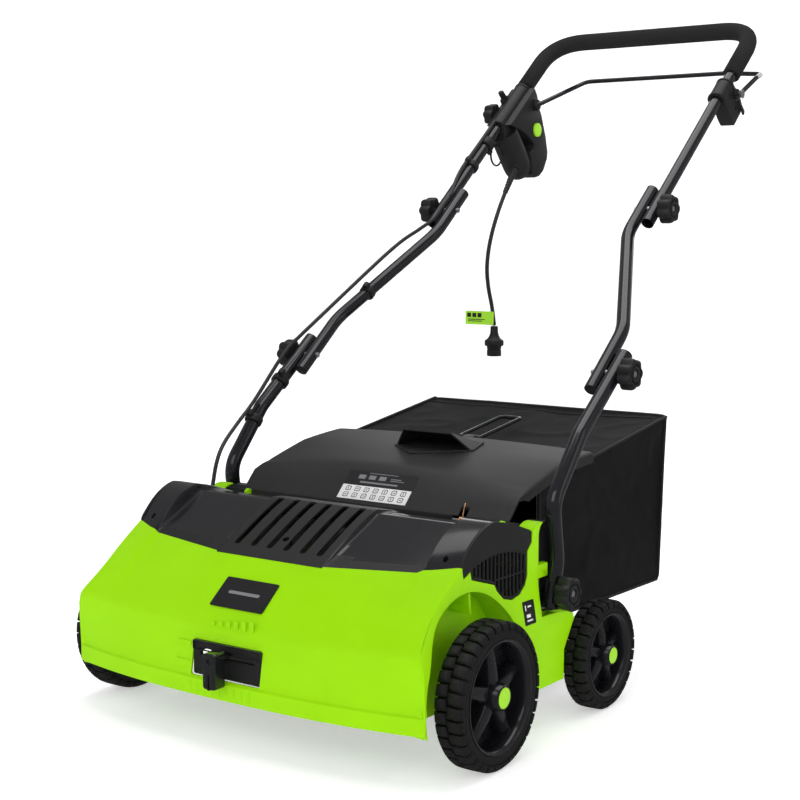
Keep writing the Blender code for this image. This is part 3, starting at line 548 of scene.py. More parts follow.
# The power cord, its plug, sleeve and tag
CORD_R = 0.0035
CORD_X = -0.19
CORD_ROUTE = (
    (0.8552, 0.7643), (0.8393, 0.7431), (0.8234, 0.7219), (0.802, 0.69), (0.782, 0.653),
    (0.7695, 0.619), (0.765, 0.586), (0.7705, 0.553), (0.782, 0.52), (0.79, 0.487),
)


def power_cord():
    points = [Vector((CORD_X, y, z)) for y, z in CORD_ROUTE]
    route = smooth_route(points, 0.01)
    cord = wire("power_cord_flex", SHEATH, route, CORD_R, 4)
    show(cord, "upper_frame", "cable_rubber", "power_cord")
    plug = plug_piece(points[-1])
    sleeve = sleeve_piece(points)
    tag = cord_tag()
    return cord


def plug_piece(end):
    """A round two-part plug body with a flange, finger grooves and pins inside its shroud."""
    profile = [(0, -0.0016), (0.0058, -0.0016), (0.0066, -0.003), (0.007, -0.013), (0.0084, -0.018),
               (0.0108, -0.0225), (0.0132, -0.025), (0.016, -0.0265), (0.017, -0.028), (0.017, -0.035),
               (0.016, -0.0366), (0.0138, -0.0372), (0.0128, -0.0385), (0.0128, -0.042), (0.012, -0.0425),
               (0.012, -0.044), (0.0128, -0.0445), (0.0128, -0.054), (0.0122, -0.055), (0.0105, -0.055),
               (0.01, -0.0545), (0.01, -0.047), (0, -0.047)]
    body = turned("plug_body", SATIN, profile, 36, False, end, (0, 0, 0))
    grips = [body]
    for index in range(16):
        angle = 2 * math.pi * index / 16
        rib = block("rib", SATIN, (-0.0007, 0.016, -0.0348), (0.0007, 0.01695, -0.0282), 0.0003)
        rib.location = Vector(end) + Vector((0, SHIFT, 0))
        rib.rotation_euler = (0, 0, angle)
        grips.append(rib)
    pin = [(0, -0.0465), (0.002, -0.0465), (0.002, -0.0535), (0.0012, -0.0545), (0, -0.0545)]
    for across in (-0.0045, 0.0045):
        at = Vector(end) + Vector((across, 0, 0))
        grips.append(turned("pin", STEEL, pin, 12, False, at, (0, 0, 0)))
    return show(joined("cord_plug", grips), "upper_frame", "black_plastic", "plug")


def sleeve_piece(points):
    """A tapered, ringed sleeve round the cord where it leaves the box."""
    along = (points[2] - points[0]).normalized()
    turn = along.to_track_quat("-Z", "X").to_euler()
    profile = [(0.0037, -0.0004), (0.007, -0.0004), (0.0072, -0.004), (0.0066, -0.005)]
    for index in range(7):
        depth = 0.008 + 0.0062 * index
        radius = 0.0064 - 0.00028 * index
        profile += [(radius, -depth), (radius - 0.0006, -depth - 0.0006), (radius - 0.0006, -depth - 0.0024),
                    (radius - 0.0001, -depth - 0.003)]
    profile += [(0.0045, -0.0528), (0.0043, -0.053), (0.0037, -0.053)]
    sleeve = turned("strain_sleeve", SHEATH, profile, 24, True, points[0], turn)
    return show(sleeve, "upper_frame", "cable_rubber", "cord_sleeve")


def cord_tag():
    """A lime paper tag folded round the cord, with plain generic marks."""
    made = [smooth(plate_y("paper", LIME, rounded(rectangle((-0.241, 0.488), (-0.185, 0.512)), 0.002), 0.7742,
                           0.7748, (), 0.0001), 30)]
    loop = [(CORD_X + 0.0046 * math.cos(a), 0.7788 + 0.0046 * math.sin(a)) for a in
            [2 * math.pi * k / 24 for k in range(24)]]
    shape = bmesh.new()
    low = [shape.verts.new((x, y, 0.4885)) for x, y in loop]
    high = [shape.verts.new((x, y + 0.0008, 0.5115)) for x, y in loop]
    for j in range(24):
        shape.faces.new((low[j], low[(j + 1) % 24], high[(j + 1) % 24], high[j]))
    wrap = link("wrap", mesh_of("wrap", shape), LIME)
    wall = wrap.modifiers.new("wall", "SOLIDIFY")
    wall.thickness = 0.0003
    made.append(smooth(applied(wrap), 40))
    for x0, x1, z0, z1 in ((-0.237, -0.229, 0.501, 0.5085), (-0.226, -0.218, 0.501, 0.5085),
                           (-0.215, -0.207, 0.501, 0.5085), (-0.235, -0.2, 0.4965, 0.4978),
                           (-0.235, -0.206, 0.4935, 0.4948)):
        made.append(plate_y("mark", INK, rectangle((x0, z0), (x1, z1)), 0.7738, 0.7743))
    return show(joined("cord_tag", made), "upper_frame", "lime_plastic")


power_cord()

# The shell's flank and the hinge
KNUCKLE_AT = (0.1655, 0.2665)
FLANK_LEVELS = (0.135, 0.15, 0.165, 0.18, 0.195, 0.205)
FLANK_DRAW = 0.0165
FLANK_BACK = 0.14
FLANK_X = 0.24
FLANK_WIDE = 0.05


def drawn_in(obj):
    """Draw a piece in near the shell's flank, more towards the top and the front, as the CAD shell is."""
    shape = bmesh.new()
    shape.from_mesh(obj.data)
    shape.transform(obj.matrix_world)
    bmesh.ops.triangulate(shape, faces=[face for face in shape.faces if len(face.verts) > 4])
    for level in FLANK_LEVELS:
        geometry = shape.verts[:] + shape.edges[:] + shape.faces[:]
        bmesh.ops.bisect_plane(shape, geom=geometry, plane_co=(0, 0, level), plane_no=(0, 0, 1))
    bmesh.ops.triangulate(shape, faces=[face for face in shape.faces if len(face.verts) > 4])
    for vert in shape.verts:
        x, y, z = vert.co
        rise = clamped((z - FLANK_LEVELS[0]) / (FLANK_LEVELS[-1] - FLANK_LEVELS[0]))
        front = 1 - 0.5 * clamped((y - SHIFT) / FLANK_BACK)
        ramp = clamped((abs(x) - FLANK_X) / FLANK_WIDE)
        vert.co.x -= math.copysign(FLANK_DRAW * eased(rise) * front * ramp, x)
    shape.transform(obj.matrix_world.inverted())
    shape.to_mesh(obj.data)
    shape.free()
    return obj


# Front shell
SHELL_HALF = 0.286
SHELL_TOP = ((0, -0.052, 0.233), (0.09, -0.052, 0.233), (0.224, -0.0295, 0.2388),
             (0.2275, -0.0283, 0.2425), (0.286, -0.012, 0.248))
ARCH = (0.11, 0.122)


def shell_profile(x):
    """The shell's section at x: a lip, a face up to the crease, and a bulged slope to the top edge."""
    t = min(abs(x) / SHELL_HALF, 1)
    lip = -0.143 + 0.028 * t ** 2.5
    crease = Vector((-0.13 + 0.01 * t * t, 0.15 + 0.012 * t * t))
    top = Vector(between(SHELL_TOP, abs(x)))
    bulge = (top - crease).orthogonal().normalized() * 0.004
    slope = []
    for step in range(1, 9):
        u = step / 8
        slope.append(crease.lerp(top, u) + bulge * (1 - (2 * u - 1) ** 2))
    low_corner = [(lip + 0.0012, 0.065), (lip, 0.0665), (lip, 0.0865), (lip + 0.0008, 0.088),
                  (lip + 0.0024, 0.0888), (lip + 0.003, 0.0905)]
    face = Vector((lip + 0.003, 0.0905))
    before = crease.lerp(face, 0.22)
    after = slope[0]
    rounding = [before.lerp(crease, 0.5).lerp(crease.lerp(after, 0.3), 0.25),
                crease.lerp((before + after) / 2, 0.22),
                crease.lerp(after, 0.5).lerp(crease, 0.1)]
    points = low_corner + [face.lerp(crease, 0.28), face.lerp(crease, 0.56), before] + rounding + slope
    back = 0.0
    inset = 0.0
    if abs(x) > SHELL_HALF:
        u = (abs(x) - SHELL_HALF) / 0.0042
        back = 0.0042 * (1 - math.sqrt(max(1 - u * u, 0)))
        inset = back * 0.6
    return [(x, p[0] + back, p[1] - inset * (p[1] - 0.065) / 0.19) for p in points]


def shell_skin():
    stations = [0.01 * k for k in range(23)]
    stations += [0.2285, 0.23, 0.232, 0.234, 0.236, 0.2375, 0.246, 0.256, 0.266, 0.276, 0.283, 0.286,
                 0.2872, 0.2883, 0.2892, 0.2898, 0.2901]
    rows = [shell_profile(x) for x in [-x for x in stations[:0:-1]] + stations]
    shell = skin("shell_skin", GREEN, rows, 0.0028, 30)
    window = block("window", None, (-0.058, -0.16, 0.0902), (0.058, -0.12, 0.1358))
    return boolean(shell, bevelled(window, 0.003, 3))


SHELL_SIDE = [
    (-0.113, 0.066), (-0.113, 0.09), (-0.1165, 0.16), (-0.062, 0.21), (-0.0135, 0.2455),
    (-0.01, 0.246), (-0.007, 0.2325), (0.0075, 0.239), (0.01, 0.229), (0.058, 0.2145), (0.064, 0.205),
    (0.077, 0.193), (0.095, 0.1885),
    (0.113, 0.192), (0.126, 0.202), (0.131, 0.214), (0.131, 0.246), (0.141, 0.256), (0.141, 0.266),
    (0.145, 0.271), (0.151, 0.2755), (0.159, 0.278), (0.168, 0.2785), (0.162, 0.2745), (0.1585, 0.269),
    (0.157, 0.262), (0.157, 0.155), (0.197, 0.154), (0.222, 0.15), (0.236, 0.145), (0.2385, 0.138),
    (0.22, 0.112), (0.212, 0.1), (0.212, 0.06),
]
POST_TOP = [(0.141, 0.262), (0.1418, 0.266), (0.145, 0.271), (0.151, 0.2755), (0.159, 0.278),
            (0.168, 0.2785), (0.168, 0.2763), (0.1592, 0.2755), (0.1525, 0.2732), (0.147, 0.269),
            (0.1442, 0.265), (0.1438, 0.262)]


def shell_sides():
    made = []
    low = math.degrees(math.asin((0.06 - FRONT_R) / ARCH[1]))
    outline = SHELL_SIDE + arc((0, FRONT_R), ARCH, low, 180 - low, 44)
    for side in (-1, 1):
        made.append(smooth(plate_x("side", GREEN, outline, *span(side, 0.2862, 0.2902), (), 0.0007), 30))
        made.append(arch_liner(side))
        rear = [(0.185, 0.0602), (0.185, 0.152), (0.262, 0.141), (0.275, 0.132), (0.262, 0.062)]
        made.append(smooth(plate_x("inner_wall", GREEN, rear, *span(side, 0.26, 0.264), (), 0.0007), 30))
        web_low, web_high = span(side, 0.262, 0.288)
        made.append(block("web", GREEN, (web_low, 0.2085, 0.0605), (web_high, 0.2117, 0.1497), 0.0006))
        for z in (0.085, 0.118):
            made.append(block("rib", GREEN, (web_low, 0.2, z), (web_high, 0.209, z + 0.002), 0.0005))
        sill = [(0.11, 0.062), (0.11, 0.065), (0.211, 0.065), (0.211, 0.062)]
        made.append(plate_x("sill", GREEN, sill, *span(side, 0.2642, 0.2865), (), 0.0005))
        made.append(smooth(plate_x("post_top", GREEN, POST_TOP, *span(side, 0.261, 0.288), (), 0.0005), 40))
        lug_low, lug_high = span(side, 0.2705, 0.2875)
        made.append(block("lug", GREEN, (lug_low, 0.156, 0.204), (lug_high, 0.185, 0.2225), 0.0015))
    return made


def arch_liner(side):
    """The wall of a wheel arch: an inner disc with the axle's slot, and a band with a moulded fold."""
    low = math.degrees(math.asin((0.062 - FRONT_R) / (ARCH[1] + 0.003)))
    disc = arc((0, FRONT_R), (ARCH[0] + 0.001, ARCH[1] + 0.001), low, 180 - low, 44)
    slot = rounded(rectangle((-0.0075, 0.078), (0.0075, 0.107)), 0.003, 3)
    wall = plate_x("arch_wall", GREEN, disc, *span(side, 0.2415, 0.244), [slot], 0.0004)
    rows = []
    for x in (0.242, 0.25, 0.262, 0.274, 0.28, 0.2868):
        spread = 0.0014 if x > 0.275 else 0.0
        band = arc((0, FRONT_R), (ARCH[0] + 0.0005 + spread, ARCH[1] + 0.0005 + spread), low, 180 - low, 44)
        rows.append([(side * x, y, z) for y, z in band])
    if side > 0:
        rows.reverse()
    band = skin("arch_band", GREEN, rows, -0.0022, 30)
    fold_low, fold_high = span(side, 0.244, 0.286)
    fold = block("fold", GREEN, (fold_low, 0.008, 0.186), (fold_high, 0.012, 0.2125), 0.0008)
    return smooth(joined("arch_liner", [wall, band, fold]), 30)


def skin_point(x, z):
    """The shell's outer surface at a height below the crease."""
    t = min(abs(x) / SHELL_HALF, 1)
    low = Vector((-0.14 + 0.028 * t ** 2.5, 0.0905))
    crease = Vector((-0.13 + 0.01 * t * t, 0.15 + 0.012 * t * t))
    return low.lerp(crease, (z - low.y) / (crease.y - low.y)).x


def embossed_marks():
    """Shallow moulded marks round the lever: graded steps, slanted bars and a scale on the lip."""
    marks = []
    for z_low, z_high in ((0.1125, 0.1315), (0.0965, 0.1075)):
        y = skin_point(-0.073, (z_low + z_high) / 2)
        low, high = (-0.0855, y - 0.0002, z_low), (-0.0615, y + 0.0016, z_high)
        marks.append(block("step", GREEN, low, high, 0.0005))
    for index in range(6):
        x = -0.034 + index * 0.013
        high = (x + 0.007, -0.1256, 0.1605 + 0.0018 * index)
        marks.append(block("bar", GREEN, (x, -0.1268, 0.1545), high, 0.0005))
    for index in range(9):
        x = -0.058 + index * 0.0125
        y = -0.143 + 0.028 * (abs(x) / SHELL_HALF) ** 2.5
        marks.append(block("tick", GREEN, (x, y - 0.0005, 0.0685), (x + 0.0028, y + 0.001, 0.0835), 0.0004))
    return marks


def badge():
    """A plain black badge with a thin rim, square to the slope and with slanted ends."""
    crease = Vector((-0.13, 0.15))
    top = Vector((-0.052, 0.233))
    along = (top - crease).normalized()
    lean = math.atan2(along.y, along.x)
    centre = crease.lerp(top, 0.5) + Vector((-along.y, along.x)) * 0.0046
    plate = rounded([(-0.0545, -0.0249), (0.0345, -0.0249), (0.0395, 0.0195), (-0.048, 0.0195)], 0.003, 4)
    bar = rounded([(-0.034, -0.0042), (0.0175, -0.0042), (0.0182, 0.0002), (-0.0333, 0.0002)], 0.002, 3)
    normal = Vector((-along.y, along.x))
    made = []
    for name, finish_of, outline, thick, edge, rise in (("badge_plate", INK, plate, 0.0014, 0.0004, 0.0),
                                                        ("badge_bar", GREY_INK, bar, 0.0003, 0.0, 0.00085)):
        at = centre + normal * rise
        data = flat_curve(name, outline, thick, (), edge)
        made.append(as_mesh(link(name, data, finish_of, (0.004, at.x, at.y), (lean, 0, 0))))
    return made


def hinge_rail():
    """The rail behind the cover, with round tabs and the ears that hold the flap's rod."""
    made = []
    for finish_of, low, high in ((GREEN, -0.262, -0.19), (SATIN, -0.19, 0.19), (GREEN, 0.19, 0.262)):
        made.append(block("rail", finish_of, (low, 0.146, 0.25), (high, 0.154, 0.266), 0.0008))
    for low, high in ((-0.262, 0.148), (0.168, 0.262)):
        made.append(block("strip", SATIN, (low, 0.1538, 0.256), (high, 0.1556, 0.2752), 0.0005))
    ear = [(0.148, 0.2515), (0.168, 0.2605), (0.1715, 0.2665), (0.168, 0.2725), (0.16, 0.2725),
           (0.148, 0.2645)]
    for side, tab in ((-1, -0.212), (1, 0.23)):
        bore = ring(KNUCKLE_AT, 0.0031, 20)
        made.append(smooth(plate_x("ear", SATIN, ear, *span(side, 0.2345, 0.2415), [bore], 0.0005), 30))
        made.append(smooth(rod_x("tab", GREEN, 0.0062, (0.15, 0.2705), tab - 0.003, tab + 0.003), 40))
    show(joined("hinge_bar", made), "chassis", "green_shell", "hinge_rail")


def motor():
    """The motor's can, ribbed and a little slimmer than its CAD envelope, which the cover would touch."""
    low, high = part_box("motor")
    centre = (low[1] + high[1]) / 2 - SHIFT, (low[2] + high[2]) / 2
    radius = (high[2] - low[2]) / 2 - 0.012
    start, length = low[0], high[0] - low[0]
    profile = [(0, start), (radius * 0.5, start), (radius - 0.006, start + 0.008)]
    for step in range(12):
        x = start + 0.012 + step * (length - 0.03) / 12
        groove = radius - 0.0015
        profile += [(groove, x), (groove, x + 0.006), (radius, x + 0.007), (radius, x + 0.012)]
    profile += [(radius - 0.008, high[0] - 0.006), (radius * 0.4, high[0]), (0, high[0])]
    show(smooth(turned_x("motor_can", SATIN, profile, centre, 40), 30), "chassis", "black_plastic", "motor")


def bracket_plates():
    """Thin zinc plates on the outer faces of the handle brackets, one with a slot."""
    for word, side in (("left", -1), ("right", 1)):
        low, high = span(side, 0.2701, 0.2707)
        base = rectangle((0.1745, 0.157), (0.212, 0.169))
        made = [plate_x("base", ZINC, base, low, high, [rectangle((0.192, 0.16), (0.1955, 0.167))]),
                plate_x("strip", ZINC, rectangle((0.1775, 0.1835), (0.1865, 0.2005)), low, high)]
        show(joined("bracket_plate_" + word, made), "chassis", "zinc_steel")


def front_shell():
    skin_piece = shell_skin()
    show(smooth(drawn_in(joined("front_shell_body", [skin_piece, *shell_sides(), *embossed_marks()])), 30),
         "chassis", "green_shell", "front_shell")
    show(joined("front_badge", badge()), "chassis", "black_plastic")


# Motor cover
COVER_FRONT = ((0.0925, -0.0505, 0.2322), (0.2255, -0.028, 0.2375))
COVER_END_FRONT = ((0.2285, -0.0277, 0.24), (0.2835, -0.0125, 0.2462))
COVER_REAR = (0.1425, 0.266)
END_TOP = (0.058, 0.2945)
END_LEAN = (0.45, 0.12)
END_REAR = (0.1425, 0.2705)


def cover_curve(front, top, front_steps=18, rear_steps=12, fall=2.0, rear=COVER_REAR,
                lean=(0.74, 0.165)):
    """A sloping face from the front edge that rounds over to the top, then a falling curve to the rear."""
    low, high = Vector(front), Vector(top)
    bend = Vector((low.x + lean[0] * (high.x - low.x), high.y - lean[1] * (high.y - low.y)))
    points = []
    for step in range(front_steps + 1):
        t = step / front_steps
        points.append(tuple(low * (1 - t) ** 2 + bend * (2 * t * (1 - t)) + high * t * t))
    for step in range(1, rear_steps + 1):
        t = step / rear_steps
        y = top[0] + (rear[0] - top[0]) * t
        points.append((y, top[1] - (top[1] - rear[1]) * t ** fall))
    return points


def end_curve(front):
    """The cover's section over the side grilles."""
    return cover_curve(front, END_TOP, fall=1.35, rear=END_REAR, lean=END_LEAN)


def mixed(a, b, t):
    return [(p[0] + (q[0] - p[0]) * t, p[1] + (q[1] - p[1]) * t) for p, q in zip(a, b)]


def cover_profile(x):
    x = abs(x)
    centre = cover_curve((-0.054, 0.232), (0.06, 0.2895))
    panel = cover_curve(between(COVER_FRONT, min(max(x, 0.0925), 0.2255)), (0.062, 0.285), lean=(0.7, 0.28))
    end = end_curve(between(COVER_END_FRONT, max(x, 0.2285)))
    if x < 0.094:
        return mixed(centre, panel, eased(clamped((x - 0.089) / 0.0034)))
    return mixed(panel, end, eased(clamped((x - 0.225) / 0.0036)))


def motor_cover():
    stations = [0, 0.02, 0.04, 0.06, 0.08, 0.087]
    stations += [0.089 + 0.0034 * k / 5 for k in range(6)]
    stations += [0.1, 0.12, 0.14, 0.16, 0.18, 0.2, 0.215, 0.222]
    stations += [0.225 + 0.0036 * k / 5 for k in range(6)]
    stations += [0.235, 0.245, 0.255, 0.265, 0.274, 0.28, 0.2835, 0.2857]
    rows = []
    for x in [-x for x in stations[:0:-1]] + stations:
        rows.append([(x, y, z) for y, z in cover_profile(x)])
    cover = skin("cover_skin", GLOSS, rows, 0.0028, 32)
    for index in range(6):
        middle_x = (index - 2.5) * 0.028
        slot = [(middle_x + x, y) for x, y in rounded(rectangle((-0.005, -0.036), (0.005, 0.062)), 0.005, 5)]
        data = flat_curve("vent", slot, 0.12, (), 0.0)
        cover = boolean(cover, as_mesh(link("vent", data, None, (0, 0, 0.28))))
    for x, y, z in SCREW_PLACES:
        cover = boolean(cover, screw_hole(x, y, z))
    cover.data.materials.append(SATIN)
    for polygon in cover.data.polygons:
        x = abs(polygon.center.x)
        if x < 0.0888 or x < 0.224 and polygon.center.z < 0.243:
            polygon.material_index = 1
    show(smooth(drawn_in(cover), 32), "chassis", "gloss_black_plastic", "motor_cover")
    trims = [screw_head(x, y, z) for x, y, z in SCREW_PLACES]
    show(drawn_in(joined("cover_screws", trims)), "chassis", "zinc_steel")


SCREW_PLACES = ((0.0, -0.0175, 0.2535), (-0.253, -0.0092, 0.2555), (0.253, -0.0092, 0.2555))


def screw_axis(x):
    """The way out of a screw's hole: the middle screw stands steeper than the side ones."""
    return Vector((0, -0.74, 0.67) if x else (0, -0.5, 0.86)).normalized()


def screw_hole(x, y, z):
    at = Vector((x, y, z))
    return turned("hole", None, [(0, 0.012), (0.0048, 0.012), (0.0048, -0.012), (0, -0.012)], 20, False, at,
                  screw_axis(x).to_track_quat("Z", "Y").to_euler())


def screw_head(x, y, z):
    at = Vector((x, y, z)) - screw_axis(x) * 0.0075
    turn = screw_axis(x).to_track_quat("Z", "Y").to_euler()
    # Painted shade: a near-black lining and floor inside the screw's hole, where shade falls.
    painted_hole_shade = turned("painted_hole_shade", PAINTED_SHADE, [(0.0057, 0.005), (0.0057, -0.003), (0, -0.003), (0, -0.0022),
                               (0.0048, -0.0022),
                               (0.0048, 0.005)], 20, True, at, turn)
    head = turned("head", ZINC, [(0, 0.0012), (0.002, 0.001), (0.0032, 0.0002), (0.0033, -0.002),
                                 (0, -0.002)],
                  20, False, at, turn)
    return joined("screw", [painted_hole_shade, head])


# Side grilles
GRILLE_LOWER = [
    (-0.011, 0.2485), (-0.0075, 0.2335), (0.0072, 0.24), (0.0095, 0.23), (0.0585, 0.2155), (0.0648, 0.206),
    (0.0775, 0.1938), (0.095, 0.1893), (0.1128, 0.1928), (0.1253, 0.2025), (0.1302, 0.2142),
    (0.1302, 0.2465), (0.1402, 0.2563), (0.1402, 0.2705),
]


def grille_bars():
    """Slots between the bars, each split where the slanting rib crosses it."""
    holes = []
    for index in range(14):
        low_y = 0.014 + index * 0.0081
        high_y = low_y + 0.0051
        sides = []
        for y in (low_y, high_y):
            lower = between(GRILLE_LOWER[3:11], y)[0] + 0.0036
            upper = 0.2525 - (0.013 if y < 0.068 else 0.011) * ((y - 0.068) / 0.06) ** 2
            rib = 0.2195 + (y - 0.062) * 0.02
            sides.append((y, lower, upper, rib))
        (ya, la, ua, ra), (yb, lb, ub, rb) = sides
        if low_y > 0.06 and min(ra - la, rb - lb) > 0.0035:
            holes.append([(ya, la), (yb, lb), (yb, rb - 0.001), (ya, ra - 0.001)])
            holes.append([(ya, ra + 0.001), (yb, rb + 0.001), (yb, ub), (ya, ua)])
        elif min(ua - la, ub - lb) > 0.003:
            holes.append([(ya, la), (yb, lb), (yb, ub), (ya, ua)])
    return holes


def side_grilles():
    top = [point for point in end_curve((-0.0125, 0.2488)) if -0.011 < point[0] < 0.14]
    outline = GRILLE_LOWER + top[::-1]
    for word, side in (("left", -1), ("right", 1)):
        plate = plate_x("plate", SATIN, outline, *span(side, 0.2855, 0.2892), grille_bars(), 0.0003)
        smooth(plate, 30)
        gap = [(y * 0.9 + 0.006, 0.255 + (z - 0.255) * 0.9) for y, z in outline]
        lip = plate_x("lip", SATIN, outline, *span(side, 0.2835, 0.2856), [gap], 0.0002)
        grille = drawn_in(joined("grille_" + word, [plate, lip]))
        show(grille, "chassis", "black_plastic", "side_grille_" + word)


front_shell()
hinge_rail()
bracket_plates()
motor()
motor_cover()
side_grilles()


# Depth lever and its bezel

def depth_lever():
    outline = rounded(rectangle((-0.0575, 0.0905), (0.0575, 0.1355)), 0.003, 4)
    notch = rectangle((0.056, 0.104), (0.0576, 0.1075))
    slot = rounded(rectangle((-0.045, 0.1165), (0.045, 0.1255)), 0.001, 2)
    bezel = [smooth(plate_y("bezel_plate", SATIN, outline, -0.1345, -0.129, [slot], 0.0006), 30)]
    bezel.append(plate_y("lip", GLOSS, rounded(rectangle((-0.0575, 0.1225), (0.0575, 0.1355)), 0.003, 4),
                         -0.1362, -0.1342, [rounded(rectangle((-0.0555, 0.124), (0.0555, 0.1335)), 0.002, 4)],
                         0.0004))
    # The grooves and the notch are painted shade: near-black strips and a patch where the bezel's recesses
    # are.
    bezel.append(block("groove", PAINTED_SHADE, (-0.0572, -0.13475, 0.12135), (-0.045, -0.13425, 0.12215)))
    bezel.append(block("groove", PAINTED_SHADE, (0.045, -0.13475, 0.12135), (0.0572, -0.13425, 0.12215)))
    bezel.append(plate_y("notch", PAINTED_SHADE, notch, -0.1349, -0.134))
    show(joined("lever_bezel_body", bezel), "chassis", "black_plastic", "lever_bezel")
    # Painted shade: a near-black sheet behind the slot, where the inside of the bezel lies in shade.
    back = block("bezel_back_shade", PAINTED_SHADE, (-0.056, -0.1288, 0.092), (0.056, -0.1283, 0.1165))
    show(back, "chassis", "black_plastic")
    grip = rounded(rectangle((-0.0145, 0.084), (0.0065, 0.13)), 0.0045, 5)
    body = smooth(plate_y("grip", GLOSS, grip, -0.165, -0.1445, [ring((-0.004, 0.1195), 0.003, 16),
                  rounded(rectangle((-0.0058, 0.0855), (-0.0022, 0.103)), 0.0016, 3)], 0.0022), 30)
    core = smooth(plate_y("core", GLOSS, [(x * 0.9 - 0.0004, 0.107 + (z - 0.107) * 0.94) for x, z in grip],
                          -0.1625, -0.1455, (), 0.0015), 30)
    stem = block("stem", GLOSS, (-0.008, -0.15, 0.118), (0.0, -0.0305, 0.124), 0.0008)
    collar = block("collar", GLOSS, (-0.0105, -0.1444, 0.1135), (0.0025, -0.1382, 0.129), 0.0012)
    lever = joined("depth_lever_body", [body, core, stem, collar])
    show(lever, "depth_control", "black_plastic", "depth_lever")


# Wheels

def tyre(name, side, centre, radius, seat, near, far):
    """A tyre with two staggered rows of blocks and a plain raised sidewall."""
    mid = side * (near + far) / 2
    half = (far - near) / 2
    floor = radius - 0.005
    wall = [(seat + 0.004, half - 0.0012), (seat + 0.007, half - 0.0002), (floor - 0.006, half - 0.0008),
            (floor - 0.0012, half - 0.003), (floor, half - 0.0052)]
    profile = wall + [(r, -x) for r, x in wall[::-1]] + [(seat, -half + 0.004), (seat, half - 0.004)]
    base = turned_x("carcass", RUBBER, profile, centre, 96, True, mid)
    count = round(2 * math.pi * radius / 0.0172)
    shape = bmesh.new()
    for row in (0, 1):
        inner_x, outer_x = (0.0006, half) if row else (-0.0006, -half)
        shoulder = half - 0.0045 if row else -half + 0.0045
        for index in range(count):
            start = (index + 0.5 * row) / count * 2 * math.pi
            add_block(shape, start, 0.86 * 2 * math.pi / count, radius, floor, inner_x, shoulder, outer_x)
    bmesh.ops.recalc_face_normals(shape, faces=shape.faces)
    blocks = link("blocks", mesh_of("blocks", shape), RUBBER, (mid, *centre))
    bevelled(blocks, 0.0006, 1, 40)
    return joined(name, [base, smooth(blocks, 40)])


def add_block(shape, start, sweep, radius, floor, inner_x, shoulder_x, outer_x):
    """One tread block: an arc of rubber that wraps over the shoulder."""
    section = [(inner_x, floor - 0.001), (inner_x, radius), (shoulder_x, radius - 0.0003),
               (outer_x * 0.985, radius - 0.004), (outer_x, radius - 0.0095), (outer_x * 0.95, radius - 0.01),
               (shoulder_x * 0.9, floor - 0.0012)]
    rings = []
    for step in range(4):
        angle = start + sweep * step / 3
        skew = 0.1 * sweep
        loop = []
        for x, r in section:
            turn = angle + skew * (abs(x) / abs(outer_x))
            loop.append(shape.verts.new((x, r * math.cos(turn), r * math.sin(turn))))
        rings.append(loop)
    bridge(shape, rings)


def rim(name, side, centre, seat, near, far, cap):
    """A glossy rim: a lipped barrel, five rounded spokes, a hub and a green cap."""
    mid = side * (near + far) / 2
    half = (far - near) / 2
    lip = seat + 0.0035
    barrel = [(lip, half - 0.0004), (lip + 0.0004, half - 0.0016), (lip - 0.001, half - 0.0036),
              (seat, half - 0.004),
              (seat, -half + 0.003), (seat - 0.003, -half + 0.003), (seat - 0.0038, half - 0.012),
              (seat - 0.0022, half - 0.005), (seat + 0.0004, half - 0.0014), (seat + 0.0022, half - 0.0004)]
    made = [turned_x("barrel", GLOSS, barrel, centre, 72, True, mid, side < 0)]
    back = [(seat - 0.002, -half + 0.008), (seat - 0.002, -half + 0.005), (0.014, -half + 0.005),
            (0.014, -half + 0.008)]
    made.append(turned_x("web", GLOSS, back, centre, 72, True, mid, side < 0))
    reach = cap - (near + far) / 2
    hub_r = 0.02 * seat / 0.0675
    cap_r = 0.0135 * (seat / 0.0675) ** 0.7
    hub = [(0, reach - 0.002), (cap_r, reach - 0.002), (cap_r, reach - 0.0006),
           (cap_r + 0.0012, reach - 0.0006),
           (cap_r + 0.0024, reach - 0.002), (hub_r - 0.001, half - 0.01), (hub_r, -half + 0.006),
           (0.007, -half + 0.001), (0.0066, -half + 0.001), (0.0066, reach - 0.012), (0, reach - 0.012)]
    made.append(turned_x("hub", GLOSS, hub, centre, 40, False, mid, side < 0))
    lid = [(0, reach + 0.0001), (cap_r * 0.8, reach), (cap_r - 0.0006, reach - 0.0006),
           (cap_r - 0.0003, reach - 0.0018), (0, reach - 0.0018)]
    made.append(turned_x("cap", LIME, lid, centre, 40, False, mid, side < 0))
    for index in range(5):
        made.append(spoke(side, centre, seat, half, mid, hub_r, index * 72 + 18))
    return joined(name, made)


def spoke(side, centre, seat, half, mid, hub_r, heading):
    """A round-backed spoke that rises from the barrel to the hub."""
    shape = bmesh.new()
    rings = []
    scale = seat / 0.0675
    for radius, width, face in ((hub_r - 0.004, 0.0105, half - 0.0085), (0.03 * scale, 0.0096, half - 0.009),
                                (0.046 * scale, 0.009, half - 0.012), (seat - 0.003, 0.0094, half - 0.016)):
        loop = []
        for step in range(13):
            angle = math.pi * step / 12
            across = width * scale * math.cos(angle)
            rise = face - 0.01 + 0.01 * math.sin(angle) ** 0.7
            loop.append(shape.verts.new((side * rise, radius, across)))
        loop.append(shape.verts.new((side * (-half + 0.006), radius, -width * scale)))
        loop.append(shape.verts.new((side * (-half + 0.006), radius, width * scale)))
        rings.append(loop)
    bridge(shape, rings)
    bmesh.ops.recalc_face_normals(shape, faces=shape.faces)
    turn = Matrix.Rotation(math.radians(heading), 3, "X")
    bmesh.ops.rotate(shape, verts=shape.verts, cent=(0, 0, 0), matrix=turn)
    return smooth(link("spoke", mesh_of("spoke", shape), GLOSS, (mid, *centre)), 45)


